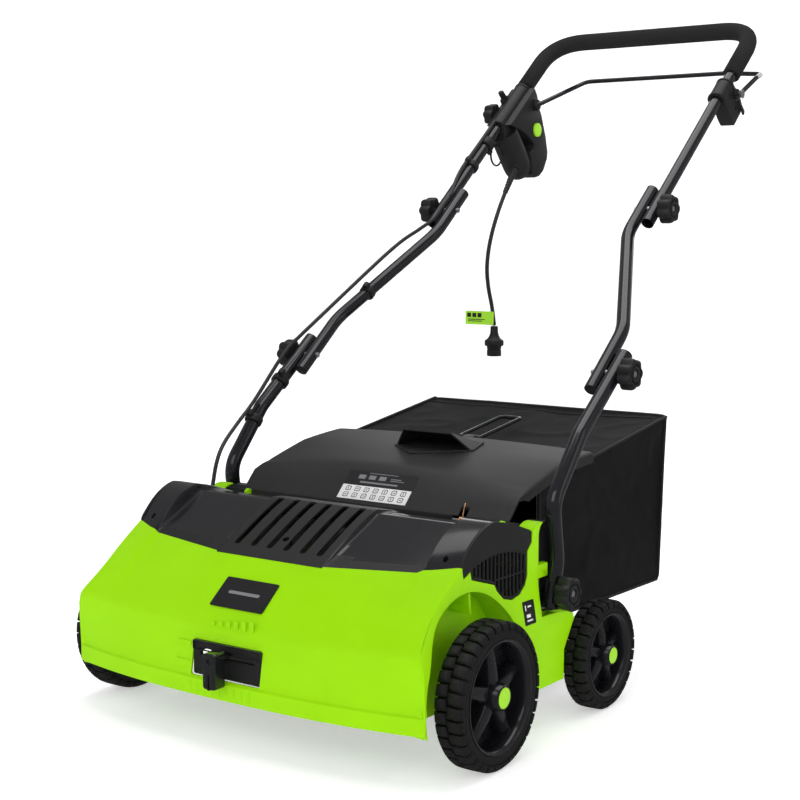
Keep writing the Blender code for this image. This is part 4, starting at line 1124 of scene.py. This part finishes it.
def wheels():
    for word, side in (("left", -1), ("right", 1)):
        for end, centre, radius, seat, near, far, cap in (
                ("front", (0, FRONT_R), FRONT_R, 0.0675, 0.286, 0.326, 0.33),
                ("rear", (REAR_Y, REAR_R), REAR_R, 0.054, 0.278, 0.312, 0.317)):
            name = end + "_wheel_" + word
            tread = tyre(name + "_tread", side, centre, radius, seat, near, far)
            show(tread, name, "tyre_rubber", name + "_tyre")
            disc = rim(name + "_disc", side, centre, seat, near, far, cap)
            show(disc, name, "gloss_black_plastic", name + "_rim")


# Handle tubes
LOWER_X = 0.282
MID_LOW_X = 0.259
MID_TOP_X = 0.178
MID_BEND = (0.085, 0.3)
UPPER_X = 0.2005
LOWER_R = 0.011
UPPER_R = 0.01
GRIP_START = 0.3505
GRIP_REACH = 0.484
CORNER_R = 0.065


def along_mid(side, x, along):
    return (side * x, KNOB_2[0] + along * math.cos(SLOPE), KNOB_2[1] + along * math.sin(SLOPE))


def upper_route(start, steps=16):
    """The U of the upper handle, from a place up its legs."""
    corners = [(-UPPER_X, start), (-UPPER_X, GRIP_REACH), (UPPER_X, GRIP_REACH), (UPPER_X, start)]
    return fillet([(x, *on_handle(along, 0)) for x, along in corners], CORNER_R, steps)


def end_plug(end, before, radius):
    """A moulded plug in the end of a tube, with a thin flange and a domed face."""
    outward = (Vector(end) - Vector(before)).normalized()
    profile = [(0, 0.0022), (radius * 0.6, 0.0018), (radius * 0.94, 0.0008), (radius, -0.0001),
               (radius - 0.0016, -0.0002), (radius - 0.0016, -0.01), (0, -0.01)]
    return turned("end_plug", SATIN, profile, 24, False, end, outward.to_track_quat("Z", "Y").to_euler())


def handle_tubes():
    for word, side in (("left", -1), ("right", 1)):
        route = [(0.187, 0.16), (0.203, 0.222), (0.191, 0.3), (0.262, 0.384), (0.358, 0.459), (0.388, 0.4826)]
        points = fillet([(side * LOWER_X, y, z) for y, z in route], 0.045, 10)
        rail = tube("lower_rail_" + word, COAT, points, LOWER_R)
        show(rail, "lower_handle", "black_tube", "lower_tube_" + word)
        corners = [along_mid(side, MID_LOW_X, -0.035), along_mid(side, MID_LOW_X, MID_BEND[0]),
                   along_mid(side, MID_TOP_X, MID_BEND[1]), along_mid(side, MID_TOP_X, 0.405)]
        points = fillet(corners, 0.1, 12)
        rail = tube("rail", COAT, points, UPPER_R)
        ends = [end_plug(*pair, UPPER_R - 0.0003) for pair in (points[:2], points[:-3:-1])]
        show(joined("mid_rail_" + word, [rail, *ends]), "mid_handle", "black_tube", "mid_tube_" + word)
    points = upper_route(-0.035)
    show(tube("upper_rail", COAT, points, UPPER_R), "upper_frame", "black_tube", "upper_handle")
    grip = wire("grip_foam", FOAM, upper_route(GRIP_START, 20), 0.0148, 8)
    show(as_mesh(grip), "upper_frame", "foam", "foam_grip")


# Knobs

KNOB_STEPS = 112
KNOB_LOBES = 7
KNOB_R = 0.0207
KNOB_WAVE = 0.0021


def knob_outline(grow):
    """A lobed outline, scaled by grow, whose hollows are narrower than its lobes."""
    points = []
    for index in range(KNOB_STEPS):
        angle = 2 * math.pi * index / KNOB_STEPS
        wave = math.cos(KNOB_LOBES * angle)
        crown = 2 * abs(math.cos(KNOB_LOBES / 2 * angle)) ** 0.8 - 1
        radius = KNOB_R + KNOB_WAVE * (0.55 * wave + 0.45 * crown)
        points.append((radius * grow * math.cos(angle), radius * grow * math.sin(angle)))
    return points


def knob_body():
    """A lobed knob as a stack of outlines, with a ring groove round its raised middle."""
    shape = bmesh.new()
    levels = ((0.0, 0.6), (0.0, 0.9), (0.0008, 0.96), (0.003, 1.0), (0.015, 1.0), (0.0182, 0.965),
              (0.0202, 0.9), (0.0208, 0.8))
    rings = []
    for height, grow in levels:
        rings.append([shape.verts.new((height, y, z)) for y, z in knob_outline(grow)])
    for height, radius in ((0.0206, 0.0148), (0.0188, 0.0142), (0.0182, 0.0132), (0.0184, 0.0122),
                           (0.0206, 0.0116),
                           (0.021, 0.0106), (0.0208, 0.007), (0.019, 0.0062), (0.0186, 0.005)):
        loop = []
        for index in range(KNOB_STEPS):
            angle = 2 * math.pi * index / KNOB_STEPS
            loop.append(shape.verts.new((height, radius * math.cos(angle), radius * math.sin(angle))))
        rings.append(loop)
    bridge(shape, rings)
    bmesh.ops.recalc_face_normals(shape, faces=shape.faces)
    return mesh_of("knob", shape)


def star_knobs():
    mesh = knob_body()
    mesh.materials.append(SATIN)
    for word, side in (("left", -1), ("right", 1)):
        for kind, centre, near, end in (("bracket", KNOB_1, 0.2945, 0.25), ("fold", KNOB_2, 0.2945, 0.2455),
                                        ("grip", KNOB_3, 0.212, 0.1645)):
            body = link("body", mesh.copy(), None, (side * near, *centre), (0, 0, 0 if side > 0 else math.pi))
            smooth(body, 40)
            body.hide_render = False
            stud = rod_x("stud", ZINC, 0.0039, centre, *span(side, end, near + 0.004))
            face = side * (near + 0.0192)
            low, high = sorted((face, face - side * 0.002))
            bolt = rod_x("bolt", ZINC, 0.0046, centre, low, high, 24, 0.0006)
            name = kind + "_knob_" + word
            show(joined(name + "_body", [body, stud, bolt]), name, "black_plastic", name)


handle_tubes()
star_knobs()
depth_lever()
wheels()

# Switch box, button and the bail
BOX_SIDE = -0.1725


def on_leg(x, along, below):
    return (x, *on_handle(along, below))


def leg_turn():
    return (SLOPE - math.pi / 2, 0, 0)


def leg_band(name, finish, x, start, profile):
    """A turned piece round a leg of the upper handle; heights count up the leg from start."""
    return turned(name, finish, profile, 40, True, on_leg(x, start, 0), leg_turn())


def clamp_sleeve(x, start, length, radius):
    bore = 0.0102
    profile = [(bore, 0), (radius + 0.0004, 0), (radius + 0.0008, 0.0008), (radius + 0.0008, 0.0032),
               (radius - 0.0002, 0.0042), (radius - 0.0002, length - 0.0062),
               (radius - 0.001, length - 0.0056), (radius - 0.001, length - 0.0046),
               (radius + 0.0006, length - 0.0038), (radius + 0.0006, length - 0.001),
               (radius - 0.0002, length), (bore, length)]
    return leg_band("clamp_sleeve", SATIN, x, start, profile)


def handle_plate(name, finish, outline, x_low, x_high, holes=(), edge=0.0):
    return plate_x(name, finish, [on_handle(*point) for point in outline], x_low, x_high,
                   [[on_handle(*point) for point in hole] for hole in holes], edge)


def switch_box():
    face = [(0.232, -0.004), (0.24, 0.006), (0.253, 0.022), (0.264, 0.04), (0.2715, 0.056),
            (0.2757, 0.0729), (0.269, 0.0775), (0.26, 0.076), (0.254, 0.08), (0.238, 0.111),
            (0.244, 0.123), (0.256, 0.129), (0.272, 0.13), (0.296, 0.1215), (0.306, 0.112),
            (0.318, 0.086), (0.33, 0.048), (0.332, 0.03), (0.34, 0.012), (0.341, -0.004)]
    plate = handle_plate("face", SATIN, face, -0.225, BOX_SIDE - 0.0003, (), 0.0034)
    button = on_handle(0.2985, 0.0572)
    boolean(plate, rod_x("hole", SATIN, 0.0135, button, -0.178, -0.16, 40, 0.0))
    made = [smooth(plate, 28)]
    barrel = [(0, 0.016), (0.0253, 0.016), (0.0253, 0.089), (0.0244, 0.098), (0.0215, 0.1055), (0.016, 0.111),
              (0.0085, 0.1135), (0, 0.114)]
    down = Vector((0, math.sin(SLOPE), -math.cos(SLOPE)))
    made.append(turned("barrel", SATIN, [(r, h) for r, h in barrel], 56, False, on_leg(-0.199, 0.2385, 0),
                       down.to_track_quat("Z", "X").to_euler()))
    neck = [(0.229, -0.004), (0.244, -0.004), (0.256, 0.02), (0.26, 0.04), (0.22, 0.04), (0.216, 0.018)]
    made.append(smooth(handle_plate("neck", SATIN, neck, -0.215, -0.184, (), 0.003), 30))
    made.append(clamp_sleeve(-UPPER_X, 0.229, 0.113, 0.0154))
    boss = [(0.313, 0.015), (0.326, 0.008), (0.333, 0.019), (0.327, 0.03), (0.315, 0.029)]
    made.append(smooth(handle_plate("boss", SATIN, rounded(boss, 0.005, 4), -0.179, -0.1665, (), 0.0015), 30))
    exit_at = Vector((CORD_X, *CORD_ROUTE[0]))
    along = (Vector((CORD_X, *CORD_ROUTE[2])) - exit_at).normalized()
    ferrule = [(0, 0.012), (0.01, 0.012), (0.01, 0.0008), (0.0092, -0.0004), (0.0076, -0.0004),
               (0.0072, 0.001), (0, 0.001)]
    turn = along.to_track_quat("-Z", "X").to_euler()
    made.append(turned("ferrule", SATIN, ferrule, 32, False, exit_at, turn))
    rim = [(0.0126, -0.1728), (0.0134, -0.1724), (0.0146, -0.1726), (0.0148, -0.1736), (0.0126, -0.174)]
    made.append(turned_x("rim", GLOSS, rim, button, 40, True))
    # The screw holes are painted shade: thin near-black discs on the face where the holes would be.
    for along_leg, below in ((0.26, 0.112), (0.29, 0.102), (0.322, 0.06)):
        made.append(rod_x("screw_hole", PAINTED_SHADE, 0.003, on_handle(along_leg, below), -0.2254, -0.2246, 20, 0.0))
    show(joined("switch_housing", made), "upper_frame", "black_plastic", "switch_box")
    star = link("star", knob_body(), None, on_leg(-0.2235, 0.272, 0.001), (0, 0, math.pi))
    star.data.materials.append(SATIN)
    star.hide_render = False
    smooth(star, 40).scale = (0.9, 0.86, 0.86)
    lever = handle_plate("lever", SATIN, rounded([(0.294, -0.03), (0.302, -0.03), (0.306, -0.013),
                         (0.296, -0.01)], 0.002, 3), -0.22, -0.212, (), 0.0015)
    stalk = handle_plate("stalk", SATIN, [(0.292, -0.015), (0.306, -0.015), (0.306, 0.002), (0.292, 0.002)],
                         -0.22, -0.21)
    show(joined("locking_star", [star, lever, stalk]), "upper_frame", "black_plastic")
    dome = [(0, -0.1684), (0.007, -0.1686), (0.0106, -0.1692), (0.0121, -0.1702), (0.0125, -0.1716),
            (0.0125, -0.1745), (0, -0.1745)]
    show(turned_x("green_button", LIME, dome, button, 40), "button", "lime_plastic", "safety_button")


def bail():
    side = [(0.286, -0.004), (0.323, -0.004), (0.33, 0.014), (0.3345, 0.03), (0.333, 0.048),
            (0.32, 0.056), (0.286, 0.057), (0.283, 0.044), (0.279, 0.01)]
    fin = smooth(handle_plate("fin", SATIN, rounded(side, 0.003, 3), 0.189, 0.2142, (), 0.0022), 30)
    holes = [rod_x("hole", PAINTED_SHADE, radius, on_handle(*place), 0.21, 0.22, 24, 0.0)
             for radius, place in ((0.0034, (0.3005, 0.003)), (0.0024, (0.307, 0.037)))]
    for hole in holes:
        boolean(fin, hole)
    made = [smooth(fin, 30), clamp_sleeve(UPPER_X, 0.278, 0.044, 0.015)]
    made.append(rod_x("screw", STEEL, 0.0028, on_handle(0.3005, 0.003), 0.2098, 0.2112, 20))
    boss = [(0.004, 0.213), (0.0088, 0.213), (0.0088, 0.2176), (0.008, 0.2186), (0.0043, 0.2186)]
    made.append(turned_x("boss", SATIN, boss, (0.895, 0.88), 28, True))
    tab = [(0.315, 0.03), (0.321, 0.03), (0.326, 0.056), (0.32, 0.06)]
    made.append(smooth(handle_plate("tab", SATIN, tab, 0.215, 0.219, (), 0.001), 30))
    show(joined("bail_housing", made), "upper_frame", "black_plastic", "bail_bracket")
    y, z = 0.895, 0.88
    corners = [(-0.18, y, z), (-0.165, y, z), (-0.137, 1.02, 0.928), (0.137, 1.02, 0.928),
               (0.214, 1.0, 0.921), (0.222, 0.959, 0.911), (0.222, y, z), (0.207, y, z)]
    route = fillet(corners, 0.016, 10)
    bar = smooth(as_mesh(wire("bar", COAT, route, 0.004, 6)), 50)
    nut = rod_x("nut", ZINC, 0.0062, (y, z), 0.2226, 0.2262, 6, 0.0004)
    washer = rod_x("washer", ZINC, 0.0076, (y, z), 0.2262, 0.227, 28, 0.0002)
    show(joined("bail_rod", [bar, nut, washer]), "bail", "black_tube", "bail_bar")


# Motor cable, its clips and the cord hook
LOWER_CABLE = ((-0.262, 0.1262, 0.2745), (-0.265, 0.14, 0.312), (-0.273, 0.165, 0.337),
               (-0.28, 0.205, 0.364), (-0.28, 0.245, 0.396), (-0.275, 0.311, 0.465),
               (-0.2662, 0.345, 0.4934))
MID_CABLE = ((-0.2661, 0.3455, 0.4938), (-0.225, 0.52, 0.62), (-0.1985, 0.5702, 0.6573),
             (-0.1865, 0.5928, 0.674), (-0.1862, 0.6239, 0.6999), (-0.1865, 0.6407, 0.712))
UPPER_CABLE = ((-0.1865, 0.0205), (-0.196, 0.06), (-0.2015, 0.1), (-0.2005, 0.17), (-0.2005, 0.23))
UPPER_CABLE_LIFT = 0.0148


def cable(name, points, node):
    piece = smooth(as_mesh(wire(name, SHEATH, smooth_route(points, 0.008), 0.003, 4)), 60)
    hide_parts(node)
    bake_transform(piece)


def motor_cables():
    cable("cable_lower", LOWER_CABLE, "motor_cable_lower")
    cable("cable_mid", MID_CABLE, "motor_cable_mid")
    upper = [on_leg(x, along, -UPPER_CABLE_LIFT) for x, along in UPPER_CABLE]
    cable("cable_upper", upper, "motor_cable_upper")


def band(name, body, centre, heading, radius, reach):
    """A cable clip: a split band round the tube with a small loop for the cable above it."""
    heading = Vector(heading).normalized()
    turn = heading.to_track_quat("Z", "Y").to_euler()
    profile = [(radius, -0.0055), (radius + 0.0022, -0.0055), (radius + 0.0028, -0.004),
               (radius + 0.0028, 0.004),
               (radius + 0.0022, 0.0055), (radius, 0.0055)]
    made = [turned("band", SATIN, profile, 36, True, centre, turn)]
    offset = Vector(reach)
    small = [(0.0032, -0.0045), (0.005, -0.0045), (0.0054, -0.003), (0.0054, 0.003), (0.005, 0.0045),
             (0.0032, 0.0045)]
    made.append(turned("loop", SATIN, small, 24, True, Vector(centre) + offset, turn))
    show(joined(name, made), body, "black_plastic")


def clips_and_hook():
    slope = (0, math.cos(SLOPE), math.sin(SLOPE))
    band("cable_clip_low", "lower_handle", (-LOWER_X, 0.2445, 0.365), (0, 0.26, 0.3), 0.0111,
         (0.002, -0.011, 0.012))
    band("cable_clip_mid", "lower_handle", (-0.282, 0.308, 0.42), slope, 0.0111, (0.01, -0.008, 0.015))
    along = 0.15
    x = MID_LOW_X - (MID_LOW_X - MID_TOP_X) * (along - MID_BEND[0]) / (MID_BEND[1] - MID_BEND[0])
    band("cable_clip_low", "mid_handle", along_mid(-1, x, along), slope, 0.0101, (0.004, -0.009, 0.011))
    band("cable_clip_top", "upper_frame", on_leg(-UPPER_X, 0.12, 0), slope, 0.0101,
         (0, -UPPER_CABLE_LIFT * math.sin(SLOPE), UPPER_CABLE_LIFT * math.cos(SLOPE)))
    collar = [(0.0102, 0), (0.0132, 0), (0.014, 0.0012), (0.014, 0.015), (0.0132, 0.0162), (0.0102, 0.0162)]
    made = [leg_band("collar", SATIN, -UPPER_X, 0.174, collar)]
    lug = [(0.176, 0.012), (0.188, 0.012), (0.187, 0.021), (0.179, 0.021)]
    made.append(smooth(handle_plate("lug", SATIN, lug, -0.204, -0.197, (), 0.001), 30))
    centre = on_handle(0.196, 0.035)
    circle = [(-UPPER_X, y, z) for y, z in ring(centre, 0.0178, 48)]
    made.append(smooth(as_mesh(wire("ring", GLOSS, circle, 0.0017, 4, True)), 60))
    show(joined("cord_hook", made), "upper_frame", "black_plastic")


# Rear flap and its hinge
FLAP_SECTION = [(0.1632, 0.2738), (0.17, 0.2806), (0.179, 0.2902), (0.188, 0.2996), (0.197, 0.3088),
                (0.2045, 0.3158), (0.2095, 0.3196), (0.215, 0.3224), (0.223, 0.3246), (0.24, 0.3278),
                (0.27, 0.333), (0.3, 0.3378), (0.33, 0.3412), (0.36, 0.3438), (0.386, 0.3456),
                (0.3905, 0.3456), (0.3925, 0.344)]


def flap_section(x):
    fold = 0.0
    if abs(x) > 0.2255:
        u = min((abs(x) - 0.2255) / 0.0065, 1)
        fold = 0.005 * (1 - math.sqrt(1 - u * u)) + (0.008 if u >= 1 else 0)
    drop = 0.012 * (x / 0.22) ** 2
    points = []
    for y, z in FLAP_SECTION:
        low = clamped((y - 0.188) / 0.026)
        fade = 1 if y < 0.214 else 1 - 0.6 * min((y - 0.214) / 0.086, 1)
        points.append((x, y, z - low * (drop * fade + fold)))
    return points


def rear_flap():
    stations = [0.0125 * k for k in range(18)] + [0.2255, 0.2275, 0.2295, 0.2308, 0.2316, 0.232, 0.23201]
    rows = [flap_section(x) for x in [-x for x in stations[:0:-1]] + stations]
    flap = skin("flap_skin", FLAP, rows, 0.0028, 30)
    boolean(flap, block("notch", FLAP, (0.151, 0.15, 0.26), (0.165, 0.1735, 0.2905)))
    made = [smooth(flap, 30)]
    knuckle = rounded([(0.1612, 0.261), (0.17, 0.261), (0.1725, 0.28), (0.164, 0.2745),
                       (0.1612, 0.27)], 0.002)
    for low, high in ((-0.2, -0.17), (0.17, 0.2)):
        bore = ring(KNUCKLE_AT, 0.0032, 20)
        made.append(smooth(plate_x("knuckle", SATIN, knuckle, low, high, [bore], 0.0008), 30))
    made += scoop()
    show(joined("flap_panel", made), "flap", "black_plastic", "rear_flap")
    flap_label()


def scoop():
    """An angular hood over a pointed sill, where fingers lift the flap."""
    rows = [[(-0.05, 0.3, 0.3378), (-0.04, 0.352, 0.344)],
            [(-0.027, 0.286, 0.3664), (-0.032, 0.351, 0.3452)],
            [(0.056, 0.286, 0.3664), (0.061, 0.351, 0.3452)],
            [(0.078, 0.31, 0.3384), (0.068, 0.352, 0.344)]]
    dense = []
    for a, b in zip(rows, rows[1:]):
        dense += [a, [tuple(Vector(p).lerp(Vector(q), 0.04)) for p, q in zip(a, b)],
                  [tuple(Vector(p).lerp(Vector(q), 0.96)) for p, q in zip(a, b)]]
    dense.append(rows[-1])
    hood = skin("hood", FLAP, dense, 0.0024, 25)
    sill = [(-0.053, 0.299, 0.3376), (0.0, 0.264, 0.3336), (0.081, 0.31, 0.3384), (0.069, 0.356, 0.3446),
            (-0.041, 0.356, 0.3446)]
    bottom, top = ([(x, y, z + rise) for x, y, z in sill] for rise in (-0.0012, 0.002))
    plate = slab("sill", FLAP, bottom, top)
    bevelled(plate, 0.0006, 2)
    return [hood, smooth(plate, 30)]


def flap_label():
    """A two-tone label with plain generic marks in place of any wording."""
    slope = Vector((0, 0.0362, 0.0368)).normalized()
    low = Vector((-0.003, 0.1664, 0.2771))
    out = Vector((0, -slope.z, slope.y))

    def patch(name, finish, x0, x1, t0, t1, lift, corner=0.0006):
        outline = rounded(rectangle((x0, t0), (x1, t1)), corner, 3)
        bottom, top = ([low + slope * t + out * height + Vector((x, 0, 0)) for x, t in outline]
                       for height in (0.0001, lift))
        return slab(name, finish, bottom, top)

    made = [patch("white", WHITE, -0.056, 0.064, 0.0, 0.024, 0.0005),
            patch("black", INK, -0.056, 0.064, 0.0242, 0.05, 0.0005)]
    for row in range(2):
        for column in range(7):
            x = -0.048 + 0.016 * column
            t = 0.003 + 0.0108 * row
            made.append(patch("mark", INK, x, x + 0.009, t, t + 0.008, 0.00056, 0.002))
            made.append(patch("mark", WHITE, x + 0.0011, x + 0.0079, t + 0.0011, t + 0.0069, 0.00062, 0.0016))
            across, up = (0.0007, 0.0018) if (row + column) % 2 else (0.0023, 0.0006)
            made.append(patch("mark", INK, x + 0.0045 - across, x + 0.0045 + across,
                              t + 0.004 - up, t + 0.004 + up, 0.00068, 0.0004))
    for x0, x1, t0, t1 in ((-0.03, 0.036, 0.029, 0.0318), (-0.036, -0.024, 0.036, 0.043),
                           (-0.018, -0.006, 0.036, 0.043), (0.0, 0.012, 0.036, 0.043),
                           (0.02, 0.044, 0.0365, 0.0378), (0.02, 0.038, 0.0395, 0.0408),
                           (-0.02, 0.03, 0.0462, 0.0472)):
        made.append(patch("mark", GREY_INK, x0, x1, t0, t1, 0.00056, 0.0006))
    show(joined("flap_label", made), "flap", "black_plastic")


def hinge_spring():
    """Copper-coloured spring wire round the hinge rod, with a hooked leg up the flap."""
    points = []
    for step in range(6 * 20 + 1):
        angle = 2 * math.pi * step / 20
        points.append((0.154 + 0.0078 * step / 120, KNUCKLE_AT[0] - 0.0046 * math.cos(angle),
                       KNUCKLE_AT[1] + 0.0046 * math.sin(angle)))
    points += [(0.1612, 0.1607, 0.27), (0.1604, 0.1622, 0.276), (0.1594, 0.1662, 0.283),
               (0.1586, 0.17, 0.288),
               (0.158, 0.1715, 0.2893), (0.1574, 0.1722, 0.2885)]
    spring = smooth(as_mesh(wire("torsion_wire", COPPER, points, 0.0011, 3)), 60)
    show(spring, "flap", "spring_steel", "flap_spring")


# Grass bag
BAG_HALF = 0.222
BAG_ROWS = 60
BAG_COUNTS = (44, 28, 60, 28)


def bag_section(t):
    """The bag's half width and its lower and upper corners at a place from its mouth to its back."""
    return (0.262 + (0.628 - 0.262) * t, 0.112 - 0.004 * t), (0.262 + (0.645 - 0.262) * t, 0.312 + 0.058 * t)


def crumple(place, seed):
    """Fabric folds: long soft ridges that run from corner to corner, with smaller creases on them."""
    p = Vector(place)
    slant = Vector((p.x * 5 + p.z * 9, p.y * 7 - p.z * 5 + p.x * 2, p.z * 4 + seed))
    long_fold = noise.noise(slant)
    ridge = 1 - abs(noise.noise(Vector((p.x * 11 - p.z * 12 + seed, p.y * 13 + p.z * 9, p.z * 6)))) * 2.4
    small = noise.noise(p * 46 + Vector((seed, 0, 0)))
    return 0.004 * long_fold + 0.0022 * max(ridge, 0) ** 2 + 0.0006 * small


def bag_loop(t):
    """One closed row of points round the bag, with where each lies along its own panel."""
    (low_y, low_z), (high_y, high_z) = bag_section(t)
    corners = [Vector((-BAG_HALF, low_y, low_z)), Vector((BAG_HALF, low_y, low_z)),
               Vector((BAG_HALF, high_y, high_z)), Vector((-BAG_HALF, high_y, high_z))]
    outward = [Vector((0, 0, -1)), Vector((1, 0, 0)), Vector((0, 0, 1)), Vector((-1, 0, 0))]
    loop = []
    for index in range(4):
        a, b = corners[index], corners[(index + 1) % 4]
        for step in range(BAG_COUNTS[index]):
            u = step / BAG_COUNTS[index]
            loop.append((a.lerp(b, u), outward[index], u, index))
    return loop


SAG = (0.012, 0.011, 0.01, 0.011)


def bag_point(spot, normal, u, panel, t):
    """A point of the bag's cloth: sagged, crumpled, and drawn in at the seams."""
    across = math.sin(math.pi * u) ** 0.8
    lengthwise = math.sin(math.pi * clamped(t)) ** 0.6
    hang = SAG[panel] * across * lengthwise * (-0.5 if panel == 0 else 1)
    edge = min(u, 1 - u) * 14
    weight = min(edge, 1) * min(t * 10 + 0.1, 1) * min((1 - t) * 12 + 0.15, 1)
    inset = 0.003
    moved = spot - normal * (hang + inset) + normal * crumple(spot, 3.7 * panel) * weight
    if edge < 0.35:
        side = 1 if spot.x > 0 else -1
        up = 1 if panel == 2 or (panel in (1, 3) and spot.z > 0.2) else -1
        moved -= Vector((side, 0, up)) * 0.0016 * (0.35 - edge) / 0.35
    return moved


def bag_rows():
    rows = []
    for step in range(BAG_ROWS + 1):
        t = step / BAG_ROWS
        rows.append([bag_point(spot, normal, u, panel, t) for spot, normal, u, panel in bag_loop(t)])
    rim = rows[-1]
    centre = sum(rim, Vector()) / len(rim)
    for step in range(1, 15):
        s = step / 15
        row = []
        for index, spot in enumerate(rim):
            inner = spot.lerp(centre, s)
            bulge = 0.004 * math.sin(math.pi * s / 2) + crumple(inner * 1.1, 21.0) * min(s * 6, 1)
            row.append(inner + Vector((0, -bulge - 0.001, 0)))
        rows.append(row)
    return rows, centre


def grass_bag():
    rows, centre = bag_rows()
    shape = bmesh.new()
    grid = [[shape.verts.new(point) for point in row] for row in rows]
    count = len(grid[0])
    for a, b in zip(grid, grid[1:]):
        for j in range(count):
            k = (j + 1) % count
            shape.faces.new((a[j], b[j], b[k], a[k]))
    middle_vert = shape.verts.new(centre + Vector((0, -0.006, 0)))
    for j in range(count):
        shape.faces.new((grid[-1][j], middle_vert, grid[-1][(j + 1) % count]))
    bmesh.ops.recalc_face_normals(shape, faces=shape.faces)
    bag = link("bag_cloth", mesh_of("bag_cloth", shape), FABRIC)
    solidify = bag.modifiers.new("wall", "SOLIDIFY")
    solidify.thickness = 0.0014
    solidify.offset = -1
    cloth = smooth(applied(bag), 50)
    piping = []
    starts = [sum(BAG_COUNTS[:index]) for index in range(4)]
    for start in starts:
        points = [rows[step][start] for step in range(0, BAG_ROWS + 1, 2)]
        piping.append(as_mesh(wire("piping", PIPING, points, 0.0024, 3)))
    for step in (0, BAG_ROWS):
        points = [p + Vector((0, 0.0006, 0)) for p in rows[step]]
        piping.append(as_mesh(wire("piping", PIPING, points, 0.0026, 3, True)))
    for step in (3, BAG_ROWS - 3):
        points = [rows[step][j] + Vector((0, 0, 0.0005)) for j in range(starts[2] + 2, starts[3])]
        piping.append(as_mesh(wire("seam", PIPING, points, 0.0009, 2)))
    for piece in piping:
        smooth(piece, 60)
    show(cloth, "bag", "bag_fabric", "grass_bag")
    show(joined("bag_piping", piping), "bag", "bag_fabric")


def bag_handle():
    route = [(-0.01, 0.423, 0.341), (-0.0185, 0.423, 0.341), (-0.0185, 0.542, 0.359), (0.0185, 0.542, 0.359),
             (0.0185, 0.423, 0.341), (0.01, 0.423, 0.341)]
    grip = smooth(as_mesh(wire("grip_wire", COAT, fillet(route, 0.006, 8), 0.003, 5)), 60)
    show(grip, "bag_grip", "black_tube", "bag_handle")
    anchor = [(0.415, 0.3362), (0.431, 0.3386), (0.4304, 0.344), (0.414, 0.342)]
    show(smooth(plate_x("handle_anchor", SATIN, rounded(anchor, 0.002), -0.0095, 0.0095, (), 0.0008), 30),
         "bag", "black_plastic")


def side_label():
    plain = rounded(rectangle((0.1145, 0.1515), (0.1405, 0.182)), 0.002)
    made = [plate_x("label", INK, plain, 0.2902, 0.2906)]
    for y0, y1, z0, z1 in ((0.119, 0.121, 0.17, 0.177), (0.125, 0.133, 0.1735, 0.1755),
                           (0.12, 0.133, 0.156, 0.158), (0.12, 0.129, 0.161, 0.165)):
        made.append(plate_x("mark", WHITE, rectangle((y0, z0), (y1, z1)), 0.2905, 0.2908))
    show(drawn_in(joined("side_label", made)), "chassis", "black_plastic")


switch_box()
bail()
motor_cables()
clips_and_hook()
rear_flap()
hinge_spring()
grass_bag()
bag_handle()
side_label()

# Camera, lights and floor
CAMERA_AT = (1.3123, -1.5796, 0.6603)
CAMERA_AZIMUTH = math.radians(35.806)
CAMERA_DOWN = math.radians(6.268)
CAMERA_LENS = 70.75
SWEEP_R = 5.0
SWEEP_TURN = 2.5
SWEEP_TOP = 6.0


def camera():
    data = bpy.data.cameras.new("camera")
    data.lens = CAMERA_LENS
    data.sensor_width = 36.0
    data.clip_start = 0.05
    obj = bpy.data.objects.new("camera", data)
    obj.location = Vector(CAMERA_AT) + Vector((0, SHIFT, 0))
    flat = math.cos(CAMERA_DOWN)
    back = Vector((math.sin(CAMERA_AZIMUTH) * flat, -math.cos(CAMERA_AZIMUTH) * flat, math.sin(CAMERA_DOWN)))
    obj.rotation_euler = back.to_track_quat("Z", "Y").to_euler()
    bpy.context.scene.collection.objects.link(obj)
    bpy.context.scene.camera = obj


def area_light(name, size, power, at, target):
    data = bpy.data.lights.new(name, "AREA")
    data.shape = "RECTANGLE"
    data.size, data.size_y = size
    data.energy = power
    obj = bpy.data.objects.new(name, data)
    obj.location = at
    obj.rotation_euler = (Vector(at) - Vector(target)).to_track_quat("Z", "Y").to_euler()
    bpy.context.scene.collection.objects.link(obj)


def studio():
    """A round white sweep, so that no horizon shows from any side, under soft lights."""
    turn = arc((SWEEP_R, SWEEP_TURN), SWEEP_TURN, -90, 0, 10)
    profile = [(0, 0), (SWEEP_R, 0)] + turn[1:] + [(SWEEP_R + SWEEP_TURN, SWEEP_TOP)]
    paint = finish("floor_paint", (0.92, 0.92, 0.92), 0.75, 0.02, tint=0.0)
    sweep = turned("sweep", paint, profile, 96, False, (0, -SHIFT, 0), (0, 0, 0))
    shader = sweep.data.materials[0].node_tree.nodes["Principled BSDF"]
    shader.inputs["Emission Color"].default_value = (1, 1, 1, 1)
    shader.inputs["Emission Strength"].default_value = 0.46
    sweep.visible_glossy = False
    world = bpy.data.worlds.new("studio")
    world.use_nodes = True
    sky = world.node_tree.nodes["Background"]
    sky.inputs["Color"].default_value = (1, 1, 1, 1)
    sky.inputs["Strength"].default_value = 0.2
    bpy.context.scene.world = world
    area_light("top", (3.0, 3.0), 47, (0.0, 0.2, 3.2), (0, 0, 0.2))
    area_light("key", (1.8, 1.4), 10, (0.4, -2.4, 2.0), (0, 0, 0.3))
    area_light("side", (0.8, 1.8), 2, (2.6, 0.4, 1.2), (0, 0, 0.4))
    area_light("back", (3.0, 1.2), 14, (-0.8, 2.8, 1.6), (0, 0, 0.4))
    bpy.context.scene.view_settings.view_transform = "Standard"


camera()
studio()
